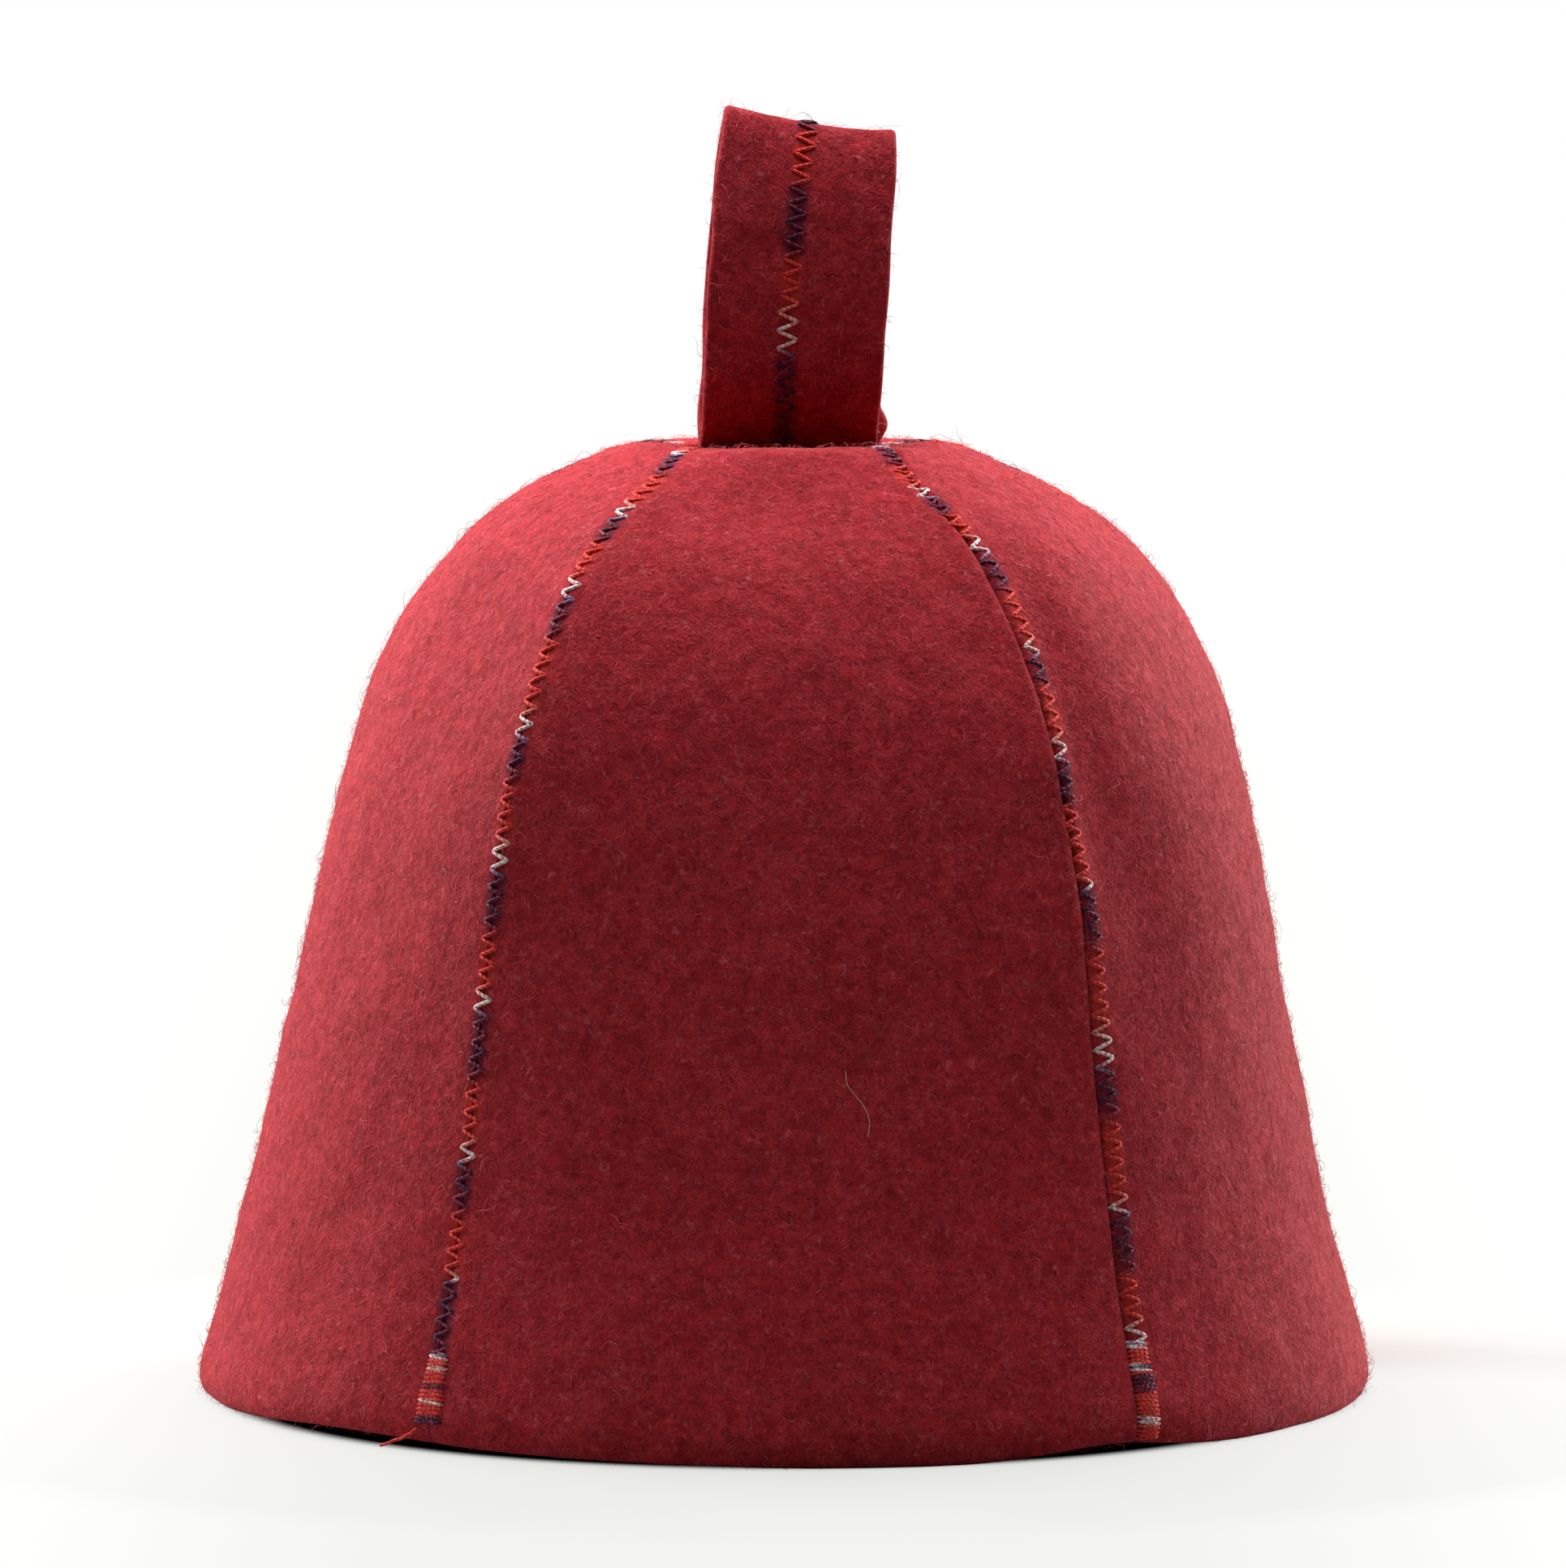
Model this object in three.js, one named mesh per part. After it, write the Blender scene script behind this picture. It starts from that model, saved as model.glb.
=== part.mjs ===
// Wool sauna hat: five felt gores sewn edge to edge into a bell, and a hanging
// loop whose two legs come up through a slit at the crown.
// Millimetres, +Z up, the rim on z = 0. The front of the hat faces -Y, and an
// azimuth turns from there towards +X.
import * as THREE from 'three';

// Driving dimensions
const RIM_RADIUS = 120; // outside of the rim
const CROWN_HEIGHT = 193.6; // rim to the highest felt of the crown
const FELT_THICKNESS = 2.8;
const SEAM_GAP = 0.3; // between the cut edges of two gores
const RIM_LIFT = 2.6; // how far the rim waves up off the floor
const LOOP_WIDTH = 36.2;
const LOOP_HEIGHT = 67.8; // slit to the top of the loop
const LOOP_DEPTH = 25; // front to back at the loop's widest
const LOOP_TAIL = 8; // hidden ends of the strip, below the crown
const LOOP_SIDEWAYS = 4.6; // how far the top of the loop leans to the right
const LOOP_TOP_TILT = 8.5; // degrees, the left end of the fold is the higher
const LOOP_YAW = 3.5; // degrees, the loop's front is turned to the right
const LEG_GAP = 0.3; // between the loop's two legs
const SLIT_CLEARANCE = 0.3; // round the legs, in the slit

const SEGMENTS_ACROSS_GORE = 16;
const STATIONS_UP_GORE = 22;
const STATIONS_ALONG_LOOP = 44;
const SEGMENTS_ACROSS_LOOP = 4;

const radians = THREE.MathUtils.degToRad;

// The bell's section from the rim to the slit. height is a share of
// CROWN_HEIGHT; radius and sway, the lean of that level to the right, are
// shares of RIM_RADIUS; flat is how far the section's round turns five-sided.
const SECTION = [
  { height: 0.0, radius: 0.991, sway: 0.0, flat: 0.0 },
  { height: 0.018, radius: 0.999, sway: 0.0, flat: 0.0 },
  { height: 0.07, radius: 0.98, sway: 0.001, flat: 0.0 },
  { height: 0.18, radius: 0.934, sway: 0.001, flat: 0.02 },
  { height: 0.38, radius: 0.873, sway: 0.004, flat: 0.12 },
  { height: 0.56, radius: 0.837, sway: 0.013, flat: 0.35 },
  { height: 0.69, radius: 0.797, sway: 0.017, flat: 0.55 },
  { height: 0.78, radius: 0.739, sway: 0.017, flat: 0.6 },
  { height: 0.855, radius: 0.662, sway: 0.017, flat: 0.6 },
  { height: 0.912, radius: 0.572, sway: 0.015, flat: 0.55 },
  { height: 0.955, radius: 0.461, sway: 0.01, flat: 0.45 },
  { height: 0.987, radius: 0.327, sway: 0.006, flat: 0.3 },
  { height: 0.999, radius: 0.217, sway: 0.006, flat: 0.15 },
  { height: 1.0, radius: 0.115, sway: 0.006, flat: 0.0 },
  { height: 0.996, radius: 0.03, sway: 0.006, flat: 0.0 },
];

// Azimuth of each seam in degrees, at the rim, half way up and at the slit.
const SEAMS = {
  leftRear: { rim: -108.5, middle: -108.5, slit: -108.5 },
  leftFront: { rim: -35.9, middle: -36.1, slit: -36 },
  rightFront: { rim: 35.9, middle: 35.3, slit: 31.3 },
  rightRear: { rim: 108.5, middle: 108.5, slit: 108.5 },
  back: { rim: 180, middle: 180, slit: 180 },
};

// The gores, each between two seams. flatness scales the section's flat
// column. slitFrom and slitTo are where its top edge lies along the slit, in
// halves of the slit's width and depth.
const GORES = [
  { name: 'crown_panel_front', from: 'leftFront', to: 'rightFront', flatness: 0.85,
    slitFrom: [-1, -1], slitTo: [1, -1] },
  { name: 'crown_panel_right', from: 'rightFront', to: 'rightRear', flatness: 0.85,
    slitFrom: [1, -1], slitTo: [1, 1] },
  { name: 'crown_panel_rear_right', from: 'rightRear', to: 'back', flatness: 0.5,
    slitFrom: [1, 1], slitTo: [0, 1] },
  { name: 'crown_panel_rear_left', from: 'back', to: 'leftRear', flatness: 0.5,
    slitFrom: [0, 1], slitTo: [-1, 1] },
  { name: 'crown_panel_left', from: 'leftRear', to: 'leftFront', flatness: 0.85,
    slitFrom: [-1, 1], slitTo: [-1, -1] },
];

// Soft dents (depth above 0) and swells (below 0) of the felt. along and tall
// are shares of the section's length, wide is in degrees, depth is a share of
// RIM_RADIUS.
const DENTS = [
  { azimuth: 44, along: 0.56, wide: 11, tall: 0.13, depth: 0.03 },
  { azimuth: 62, along: 0.48, wide: 18, tall: 0.2, depth: -0.012 },
  { azimuth: -52, along: 0.5, wide: 14, tall: 0.14, depth: 0.008 },
  { azimuth: 4, along: 1.0, wide: 24, tall: 0.07, depth: 0.013 },
  { azimuth: 4, along: 0.86, wide: 20, tall: 0.05, depth: 0.01 },
];

// Where the rim stands off the floor: wide is in degrees, rise is a share of
// RIM_LIFT, and the lift fades out over LIFT_FADE of the crown's height.
const LIFTS = [
  { azimuth: -47, wide: 17, rise: 1.0 },
  { azimuth: 33, wide: 9, rise: 0.88 },
  { azimuth: -18, wide: 16, rise: 0.35 },
];
const LIFT_FADE = 0.16;

// Within this share of RIM_RADIUS the round plan turns into the slit's oblong.
const PLAN_BLEND_START = 0.4;
const PLAN_BLEND_POWER = 1.3;

// The loop from the side, front half: rise is a share of LOOP_HEIGHT, out is a
// share of half of LOOP_DEPTH, both to the middle of the felt.
const LOOP_SIDE = [
  { rise: 0.06, out: 0.14 },
  { rise: 0.22, out: 0.4 },
  { rise: 0.42, out: 0.74 },
  { rise: 0.62, out: 0.96 },
  { rise: 0.78, out: 0.98 },
  { rise: 0.9, out: 0.74 },
  { rise: 0.97, out: 0.4 },
];
const LEAN_POWER = 1.6; // the loop leans more towards its top
const TILT_POWER = 2; // and its fold tilts only there

// The rim is cut square to the wall up to the first of these heights, and the
// wall is evenly thick above the second, both in felt thicknesses.
const SQUARE_RIM = [1, 4];

const bell = new THREE.CatmullRomCurve3(
  SECTION.map((row) => new THREE.Vector3(row.radius * RIM_RADIUS, 0, row.height * CROWN_HEIGHT)),
  false,
  'centripetal',
);

// A column of SECTION at a share of the way along its spline.
function sectionColumn(column, splineShare) {
  const place = splineShare * (SECTION.length - 1);
  const row = Math.min(Math.floor(place), SECTION.length - 2);
  return THREE.MathUtils.lerp(SECTION[row][column], SECTION[row + 1][column], place - row);
}

// The bell's section at a share of its length: radius, height, sway, flat and
// the outward normal as its radial and upward parts.
function station(along) {
  const splineShare = bell.getUtoTmapping(along);
  const point = bell.getPoint(splineShare);
  const tangent = bell.getTangent(splineShare);
  const [squareTop, evenFrom] = SQUARE_RIM.map((share) => share * FELT_THICKNESS);
  const evenness = THREE.MathUtils.smoothstep(point.z, squareTop, evenFrom);
  const level = new THREE.Vector2(1, 0);
  const normal = level.lerp(new THREE.Vector2(tangent.z, -tangent.x), evenness);
  return {
    radius: point.x,
    height: point.z,
    sway: sectionColumn('sway', splineShare) * RIM_RADIUS,
    flat: sectionColumn('flat', splineShare),
    normal: normal.normalize(),
  };
}

function seamAzimuth(name, along) {
  const { rim, middle, slit } = SEAMS[name];
  return rim * (1 - along) * (1 - 2 * along) + 4 * middle * along * (1 - along)
    + slit * along * (2 * along - 1);
}

// The azimuths of a gore's two seams, the right one always past the left one.
function goreSpan(gore, along) {
  const left = seamAzimuth(gore.from, along);
  const right = seamAzimuth(gore.to, along);
  return { left, right: right > left ? right : right + 360 };
}

// A smooth bump, 1 at no distance and fading over the given width.
function bump(distance, width) {
  return Math.exp(-((distance / width) ** 2));
}

function degreesApart(a, b) {
  return THREE.MathUtils.euclideanModulo(a - b + 180, 360) - 180;
}

const SLIT_HALF_WIDTH = LOOP_WIDTH / 2 + SLIT_CLEARANCE;
const SLIT_HALF_DEPTH = FELT_THICKNESS + LEG_GAP / 2 + SLIT_CLEARANCE;

// Where a gore's top edge lies on the slit's outline, across from -1 to 1.
function slitPoint(gore, across) {
  const share = (across + 1) / 2;
  const x = THREE.MathUtils.lerp(gore.slitFrom[0], gore.slitTo[0], share) * SLIT_HALF_WIDTH;
  const y = THREE.MathUtils.lerp(gore.slitFrom[1], gore.slitTo[1], share) * SLIT_HALF_DEPTH;
  return new THREE.Vector2(x, y).rotateAround(new THREE.Vector2(), radians(LOOP_YAW));
}

// The felt of one gore: across runs from -1 at its left seam to 1 at its right
// seam, along from 0 at the rim to 1 at the slit, depth inwards from the outside.
function feltPoint(gore, across, along, depth) {
  const level = station(along);
  const { left, right } = goreSpan(gore, along);
  const half = (right - left) / 2;
  const azimuth = (left + right) / 2 + across * half;
  const outward = new THREE.Vector2(Math.sin(radians(azimuth)), -Math.cos(radians(azimuth)));

  const panelShare = Math.cos(radians(half)) / Math.cos(radians(across * half));
  const radius = level.radius * (1 - level.flat * gore.flatness * (1 - panelShare));
  const endRadius = SECTION.at(-1).radius * RIM_RADIUS;
  const startRadius = PLAN_BLEND_START * RIM_RADIUS;
  const blend = THREE.MathUtils.clamp(
    (startRadius - level.radius) / (startRadius - endRadius), 0, 1,
  ) ** PLAN_BLEND_POWER;
  const plan = outward.clone().multiplyScalar(radius - blend * endRadius);
  plan.add(slitPoint(gore, across).multiplyScalar(blend));
  plan.x += level.sway;

  let inward = depth;
  for (const dent of DENTS) {
    inward += dent.depth * RIM_RADIUS * bump(degreesApart(azimuth, dent.azimuth), dent.wide)
      * bump(along - dent.along, dent.tall);
  }
  let lift = 0;
  for (const wave of LIFTS) {
    lift += wave.rise * RIM_LIFT * bump(degreesApart(azimuth, wave.azimuth), wave.wide)
      * bump(level.height / CROWN_HEIGHT, LIFT_FADE);
  }
  return new THREE.Vector3(
    plan.x - inward * level.normal.x * outward.x,
    plan.y - inward * level.normal.x * outward.y,
    level.height - inward * level.normal.y + lift,
  );
}

// A closed wall between an outer and an inner grid of points, both given as
// rows of equal length, with the rows' order running up the wall.
function wallBetween(outer, inner) {
  const rows = outer.length;
  const columns = outer[0].length;
  const positions = [...outer.flat(), ...inner.flat()].flatMap((point) => point.toArray());
  const outside = (row, column) => row * columns + column;
  const inside = (row, column) => rows * columns + outside(row, column);
  const triangles = [];
  const quad = (a, b, c, d) => triangles.push(a, b, c, a, c, d);
  for (let row = 0; row + 1 < rows; row += 1) {
    for (let column = 0; column + 1 < columns; column += 1) {
      quad(outside(row, column), outside(row, column + 1),
        outside(row + 1, column + 1), outside(row + 1, column));
      quad(inside(row, column), inside(row + 1, column),
        inside(row + 1, column + 1), inside(row, column + 1));
    }
    const last = columns - 1;
    quad(outside(row, 0), outside(row + 1, 0), inside(row + 1, 0), inside(row, 0));
    quad(outside(row, last), inside(row, last), inside(row + 1, last), outside(row + 1, last));
  }
  for (let column = 0; column + 1 < columns; column += 1) {
    const top = rows - 1;
    quad(outside(0, column), inside(0, column), inside(0, column + 1), outside(0, column + 1));
    quad(outside(top, column), outside(top, column + 1),
      inside(top, column + 1), inside(top, column));
  }
  const geometry = new THREE.BufferGeometry();
  geometry.setAttribute('position', new THREE.Float32BufferAttribute(positions, 3));
  geometry.setIndex(triangles);
  geometry.computeVertexNormals();
  return geometry;
}

const PROBE = 0.01; // a small step across a gore

// How much of the across range the half gap at one seam takes at this level.
function seamMargin(gore, side, along) {
  const edge = feltPoint(gore, side, along, 0);
  const beside = feltPoint(gore, side * (1 - PROBE), along, 0);
  return (SEAM_GAP / 2) * (PROBE / edge.distanceTo(beside));
}

function goreGeometry(gore) {
  const outer = [];
  const inner = [];
  const lowestBand = FELT_THICKNESS / 2 / bell.getLength();
  for (let step = 0; step <= STATIONS_UP_GORE; step += 1) {
    const upShare = (step - 1) / (STATIONS_UP_GORE - 1);
    const along = step === 0 ? 0 : lowestBand + (1 - lowestBand) * upShare;
    const leftEdge = -1 + seamMargin(gore, -1, along);
    const rightEdge = 1 - seamMargin(gore, 1, along);
    const outerRow = [];
    const innerRow = [];
    for (let segment = 0; segment <= SEGMENTS_ACROSS_GORE; segment += 1) {
      const across = THREE.MathUtils.lerp(leftEdge, rightEdge, segment / SEGMENTS_ACROSS_GORE);
      outerRow.push(feltPoint(gore, across, along, 0));
      innerRow.push(feltPoint(gore, across, along, FELT_THICKNESS));
    }
    outer.push(outerRow);
    inner.push(innerRow);
  }
  return wallBetween(outer, inner);
}

// The middle line of the loop's strip, seen from the side: up the front leg,
// over the top and down the rear leg. x holds the depth, y the rise.
function loopLine() {
  const legOut = (FELT_THICKNESS + LEG_GAP) / 2;
  const halfDepth = (LOOP_DEPTH - FELT_THICKNESS) / 2;
  const top = LOOP_HEIGHT - FELT_THICKNESS / 2;
  const front = [
    new THREE.Vector3(-legOut, -FELT_THICKNESS - LOOP_TAIL, 0),
    new THREE.Vector3(-legOut, -FELT_THICKNESS, 0),
    new THREE.Vector3(-legOut, 0, 0),
    ...LOOP_SIDE.map(({ rise, out }) => new THREE.Vector3(
      -Math.max(legOut, out * halfDepth), rise * top, 0,
    )),
  ];
  const rear = front.map((point) => new THREE.Vector3(-point.x, point.y, 0)).reverse();
  const points = [...front, new THREE.Vector3(0, top, 0), ...rear];
  return new THREE.CatmullRomCurve3(points, false, 'centripetal');
}

// One point of the strip: across from -1 to 1 over its width, side 1 on the
// outside of the loop and -1 on its inside.
function stripPoint(line, across, along, side) {
  const middle = line.getPointAt(along);
  const tangent = line.getTangentAt(along);
  const depth = middle.x - side * tangent.y * (FELT_THICKNESS / 2);
  const rise = middle.y + side * tangent.x * (FELT_THICKNESS / 2);
  const up = THREE.MathUtils.clamp(rise / LOOP_HEIGHT, 0, 1);
  const x = across * (LOOP_WIDTH / 2);
  const point = new THREE.Vector3(
    x + LOOP_SIDEWAYS * up ** LEAN_POWER,
    depth,
    rise - x * Math.tan(radians(LOOP_TOP_TILT)) * up ** TILT_POWER,
  );
  return point.applyAxisAngle(new THREE.Vector3(0, 0, 1), radians(LOOP_YAW));
}

function loopGeometry() {
  const line = loopLine();
  const outer = [];
  const inner = [];
  for (let step = 0; step <= STATIONS_ALONG_LOOP; step += 1) {
    const along = step / STATIONS_ALONG_LOOP;
    const outerRow = [];
    const innerRow = [];
    for (let segment = 0; segment <= SEGMENTS_ACROSS_LOOP; segment += 1) {
      const across = -1 + 2 * (segment / SEGMENTS_ACROSS_LOOP);
      outerRow.push(stripPoint(line, across, along, 1));
      innerRow.push(stripPoint(line, across, along, -1));
    }
    outer.push(outerRow);
    inner.push(innerRow);
  }
  return wallBetween(outer, inner);
}

function felt(color) {
  return new THREE.MeshStandardMaterial({ color, roughness: 0.95, metalness: 0 });
}

const hat = new THREE.Group();

for (const gore of GORES) {
  const panel = new THREE.Mesh(goreGeometry(gore), felt(0x8e2a32));
  panel.name = gore.name;
  hat.add(panel);
}

const slit = station(1);
const loop = new THREE.Mesh(loopGeometry(), felt(0x7f252c));
loop.name = 'hanging_loop';
loop.position.set(slit.sway, 0, slit.height);
hat.add(loop);

export default hat;
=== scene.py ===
"""A wool sauna hat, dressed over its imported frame: felt, stitching, fuzz and stage."""
import math

import bpy
import numpy as np
from bpy.props import FloatProperty, FloatVectorProperty, IntProperty, PointerProperty
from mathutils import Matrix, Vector


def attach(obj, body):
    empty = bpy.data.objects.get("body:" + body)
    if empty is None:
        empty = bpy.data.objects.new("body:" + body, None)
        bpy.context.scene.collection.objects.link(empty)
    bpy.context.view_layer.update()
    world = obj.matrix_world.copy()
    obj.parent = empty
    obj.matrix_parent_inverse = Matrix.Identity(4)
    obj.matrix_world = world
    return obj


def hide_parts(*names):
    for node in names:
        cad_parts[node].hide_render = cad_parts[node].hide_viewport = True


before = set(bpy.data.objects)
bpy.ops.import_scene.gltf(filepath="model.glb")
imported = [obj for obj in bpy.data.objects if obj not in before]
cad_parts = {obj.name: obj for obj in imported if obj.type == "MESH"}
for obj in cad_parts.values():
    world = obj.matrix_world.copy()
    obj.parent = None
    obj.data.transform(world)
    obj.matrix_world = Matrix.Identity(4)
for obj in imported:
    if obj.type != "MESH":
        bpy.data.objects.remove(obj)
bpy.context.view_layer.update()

bl_info = {
    "name": "Wool sauna hat",
    "version": (1, 0, 0),
    "blender": (4, 5, 0),
    "location": "View3D > Sidebar > Sauna hat",
    "description": "Felt gores, zigzag seams, hanging loop and loose wool of a sauna hat",
    "category": "Object",
}

MM = 0.001

# The hat's sizes in millimetres, as the solids have them.
RIM_RADIUS = 120.0
CROWN_HEIGHT = 193.6
FELT = 2.8
RIM_LIFT = 2.6
LOOP_WIDTH = 36.2
LOOP_HEIGHT = 67.8
LOOP_DEPTH = 25.0
LOOP_TAIL = 8.0
LOOP_SIDEWAYS = 4.6
LOOP_TOP_TILT = math.radians(8.5)
LOOP_YAW = math.radians(3.5)
LEG_GAP = 0.3
SLIT_PLAY = 0.3
SLIT_HALF = (LOOP_WIDTH / 2 + SLIT_PLAY, FELT + LEG_GAP / 2 + SLIT_PLAY)

# How far up the lift of the rim reaches, as a share of the crown's height.
LIFT_FADE = 0.16
# Where the plan starts to turn from round to the slit's oblong, as a share of the rim's radius.
PLAN_BLEND_START = 0.4
PLAN_BLEND_POWER = 1.3
# Between these heights, in thicknesses of felt, the wall's thickness turns from level, which
# cuts the rim flat, to square to the slope.
SQUARE_RIM = (1.0, 4.0)

# Height, radius, sway to the right and flatness of the bell, from the rim to the slit.
SECTION = np.array([
    (0.0, 0.991, 0.0, 0.0),
    (0.018, 0.999, 0.0, 0.0),
    (0.07, 0.98, 0.001, 0.0),
    (0.18, 0.934, 0.001, 0.02),
    (0.38, 0.873, 0.004, 0.12),
    (0.56, 0.837, 0.013, 0.35),
    (0.69, 0.797, 0.017, 0.55),
    (0.78, 0.739, 0.017, 0.6),
    (0.855, 0.662, 0.017, 0.6),
    (0.912, 0.572, 0.015, 0.55),
    (0.955, 0.461, 0.01, 0.45),
    (0.987, 0.327, 0.006, 0.3),
    (0.999, 0.217, 0.006, 0.15),
    (1.0, 0.115, 0.006, 0.0),
    (0.996, 0.03, 0.006, 0.0),
])

# Azimuth of each seam at the rim, half way up and at the slit, in degrees.
SEAMS = {
    "left_rear": (-108.5, -108.5, -108.5),
    "left_front": (-35.9, -36.1, -36.0),
    "right_front": (35.9, 35.3, 31.3),
    "right_rear": (108.5, 108.5, 108.5),
    "back": (180.0, 180.0, 180.0),
}

# Each gore's seams, flatness and where its top edge lies along the slit.
GORES = {
    "front": ("left_front", "right_front", 0.85, (-1, -1), (1, -1)),
    "right": ("right_front", "right_rear", 0.85, (1, -1), (1, 1)),
    "rear_right": ("right_rear", "back", 0.5, (1, 1), (0, 1)),
    "rear_left": ("back", "left_rear", 0.5, (0, 1), (-1, 1)),
    "left": ("left_rear", "left_front", 0.85, (-1, 1), (-1, -1)),
}

# Azimuth, share of the way up, widths to the left and right in degrees, height share and
# depth of each dent, or swell where the depth is below 0.
DENTS = (
    (37.5, 0.58, 15, 6.5, 0.12, 0.03),
    (42.5, 0.47, 12, 8.5, 0.12, 0.015),
    (62, 0.48, 18, 18, 0.2, -0.009),
    (35, 0.69, 20, 12, 0.08, 0.013),
    (-60, 0.55, 12, 17, 0.22, 0.012),
    (-39, 0.62, 28, 6.5, 0.1, 0.009),
    (4, 1.0, 24, 24, 0.07, 0.01),
    (2, 0.895, 26, 26, 0.032, -0.016),
    (1, 0.8, 26, 26, 0.07, 0.03),
    (1, 0.7, 28, 28, 0.08, 0.015),
)

# Azimuth, width in degrees and share of RIM_LIFT where the rim stands off the floor.
LIFTS = ((-47, 17, 1.0), (33, 9, 0.88), (-18, 16, 0.35))

# The loop from the side: rise and how far out, as shares.
LOOP_SIDE = (
    (0.045, 0.26), (0.13, 0.58), (0.25, 0.86), (0.38, 0.97), (0.5, 0.97), (0.62, 0.91),
    (0.75, 0.75), (0.87, 0.52), (0.96, 0.26),
)
# How far the fold sags between its edges, in millimetres, and by what share it narrows.
LOOP_SAG = 1.3
FOLD_NARROWING = 0.035
# How far the rear leg's edge sticks out at its foot, at what rise and over what height.
NUB = (2.2, 4.6, 3.4)
STRAP_ROUNDING = 1.2

# How the cut edges meet in each seam: groove depth and width, and rounding of the edges.
GROOVES = {
    "left_rear": (0.3, 1.6, 0.4),
    "left_front": (0.28, 1.6, 0.35),
    "right_front": (0.75, 1.0, 0.8),
    "right_rear": (0.35, 1.4, 0.45),
    "back": (0.3, 1.6, 0.4),
}
RIM_ROUNDING = 1.0
SLIT_ROUNDING = 0.8
# The most that rounding takes off one side of the felt, as a share of its thickness.
ROUNDING_LIMIT = 0.45
# Half the gap between two gores.
SEAM_TOUCH = 0.06
# The inside of the felt has this share of the outside's unevenness.
INSIDE_UNEVENNESS = 0.6
# First step from an edge, its growth and the widest step of a gore's mesh, in millimetres.
STEPS_ACROSS = (0.35, 1.25, 2.3)
STEPS_UP = (0.25, 1.3, 1.8)

# Millimetres up from the rim and the place in the thread's dye cycle there.
DYE_LEFT = (
    (0, 7.4), (18, 7.38), (21, 7.36), (34, 7.12), (35, 6.93), (46, 6.52), (49, 6.42), (57, 6.13),
    (60, 6.0), (62, 5.93), (72, 5.52), (75, 5.42), (87, 5.13), (90, 5.0), (92, 4.93), (101, 4.52),
    (105, 4.42), (115, 4.13), (118, 4.0), (122, 3.93), (132, 3.52), (135, 3.42), (142, 3.13),
    (146, 3.0), (148, 2.93), (163, 2.52), (166, 2.42), (173, 2.13), (177, 2.0), (179, 1.93),
    (188, 1.52), (191, 1.42), (197, 1.13), (200.5, 1.0), (203, 0.93), (215, 0.52), (218, 0.42),
    (228, 0.13), (256, -0.9),
)
DYE_RIGHT = (
    (0, 8.5), (21, 8.0), (24, 7.97), (26, 7.9), (34, 7.52), (36, 7.42), (47, 7.13), (50, 6.93),
    (64, 6.52), (68, 6.42), (76, 6.13), (79, 6.0), (83, 5.95), (86, 5.9), (98, 5.52), (102, 5.42),
    (112, 5.13), (114, 4.9), (129, 4.52), (130, 4.42), (138, 4.13), (141, 4.0), (144, 3.92),
    (154, 3.52), (156, 3.42), (162, 3.13), (164, 3.0), (166, 2.93), (177, 2.52), (179, 2.42),
    (187, 2.13), (190, 2.0), (193, 1.93), (200, 1.52), (201, 1.42), (206, 1.13), (209, 1.0),
    (212, 0.92), (218, 0.55), (222, 0.42), (232, 0.13), (256, -0.7),
)
DYE_LEFT_TACK = (
    (0, 0.2), (5.6, 0.22), (6.0, 0.55), (8.0, 0.84), (8.3, 0.97), (9.0, 1.0), (9.2, 0.84),
    (10.8, 0.6), (11.2, 0.44), (12.2, 0.38), (12.8, 0.55), (14.6, 0.85), (15.0, 0.95),
    (15.6, 0.97), (15.9, 0.88), (17.2, 0.84), (17.5, 0.98), (18.1, 1.03), (18.5, 1.16),
)
DYE_RIGHT_TACK = (
    (0, 0.78), (4.0, 0.84), (4.3, 0.98), (5.2, 1.03), (5.6, 0.82), (10.2, 0.56), (10.5, 0.4),
    (11.5, 0.3), (12.3, 0.5), (12.7, 0.36), (14.2, 0.3), (14.6, 0.45), (15.0, 0.9), (15.4, 1.1),
    (15.9, 1.2), (16.3, 1.04), (16.7, 0.86), (17.3, 0.6), (17.8, 0.4), (18.3, 0.7), (18.8, 1.06),
    (19.3, 0.8), (19.7, 1.03), (21, 1.08),
)
# The same for the loop, in millimetres down its front from the fold.
DYE_LOOP = (
    (-70, -1.6), (-30, -0.4), (-6, 0.1), (0, 0.18), (2, 0.4), (3.5, 0.52), (10, 0.56), (13.5, 0.5),
    (15.5, 0.42), (18, 0.33), (20, 0.28), (26, 0.33), (29, 0.42), (31, 0.52), (38, 0.86),
    (41, 0.93), (43.5, 0.965), (44.5, 1.0), (47.5, 1.03), (49, 1.1), (50.5, 1.2), (56, 1.33),
    (70, 1.4),
)
# How far the strap's stitching lies to the right of its middle, from the fold to the ends.
STRAP_LINE = ((0, -0.5), (0.2, -1.5), (0.5, -1.8), (0.8, -1.2), (1, -0.6))

# Rows of dye, rows of shift to the right and the lowest stitch of each seam's zigzag.
SEAM_PLAN = {
    "left_front": (DYE_LEFT, ((0, 0), (256, 0)), 18.5),
    "right_front": (DYE_RIGHT, (
        (0, 2.2), (110, 2.2), (128, 0.9), (145, 2.2), (170, 3.2), (182, 2.6), (192, 1.3),
        (205, -0.2), (228, -1.5), (256, -1.0)), 20.5),
    "left_rear": (((0, 8.5), (256, -0.3)), ((0, -2.6), (190, -2.6), (215, 0)), 15.0),
    "right_rear": (((0, 8.6), (256, -0.2)), ((0, 2.6), (190, 2.6), (215, 0)), 15.0),
    "back": (((0, 8.7), (256, -0.1)), ((0, 0), (256, 0)), 15.0),
}
# The highest stitch, measured down from the slit.
TOP_STITCH = 3.0

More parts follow.
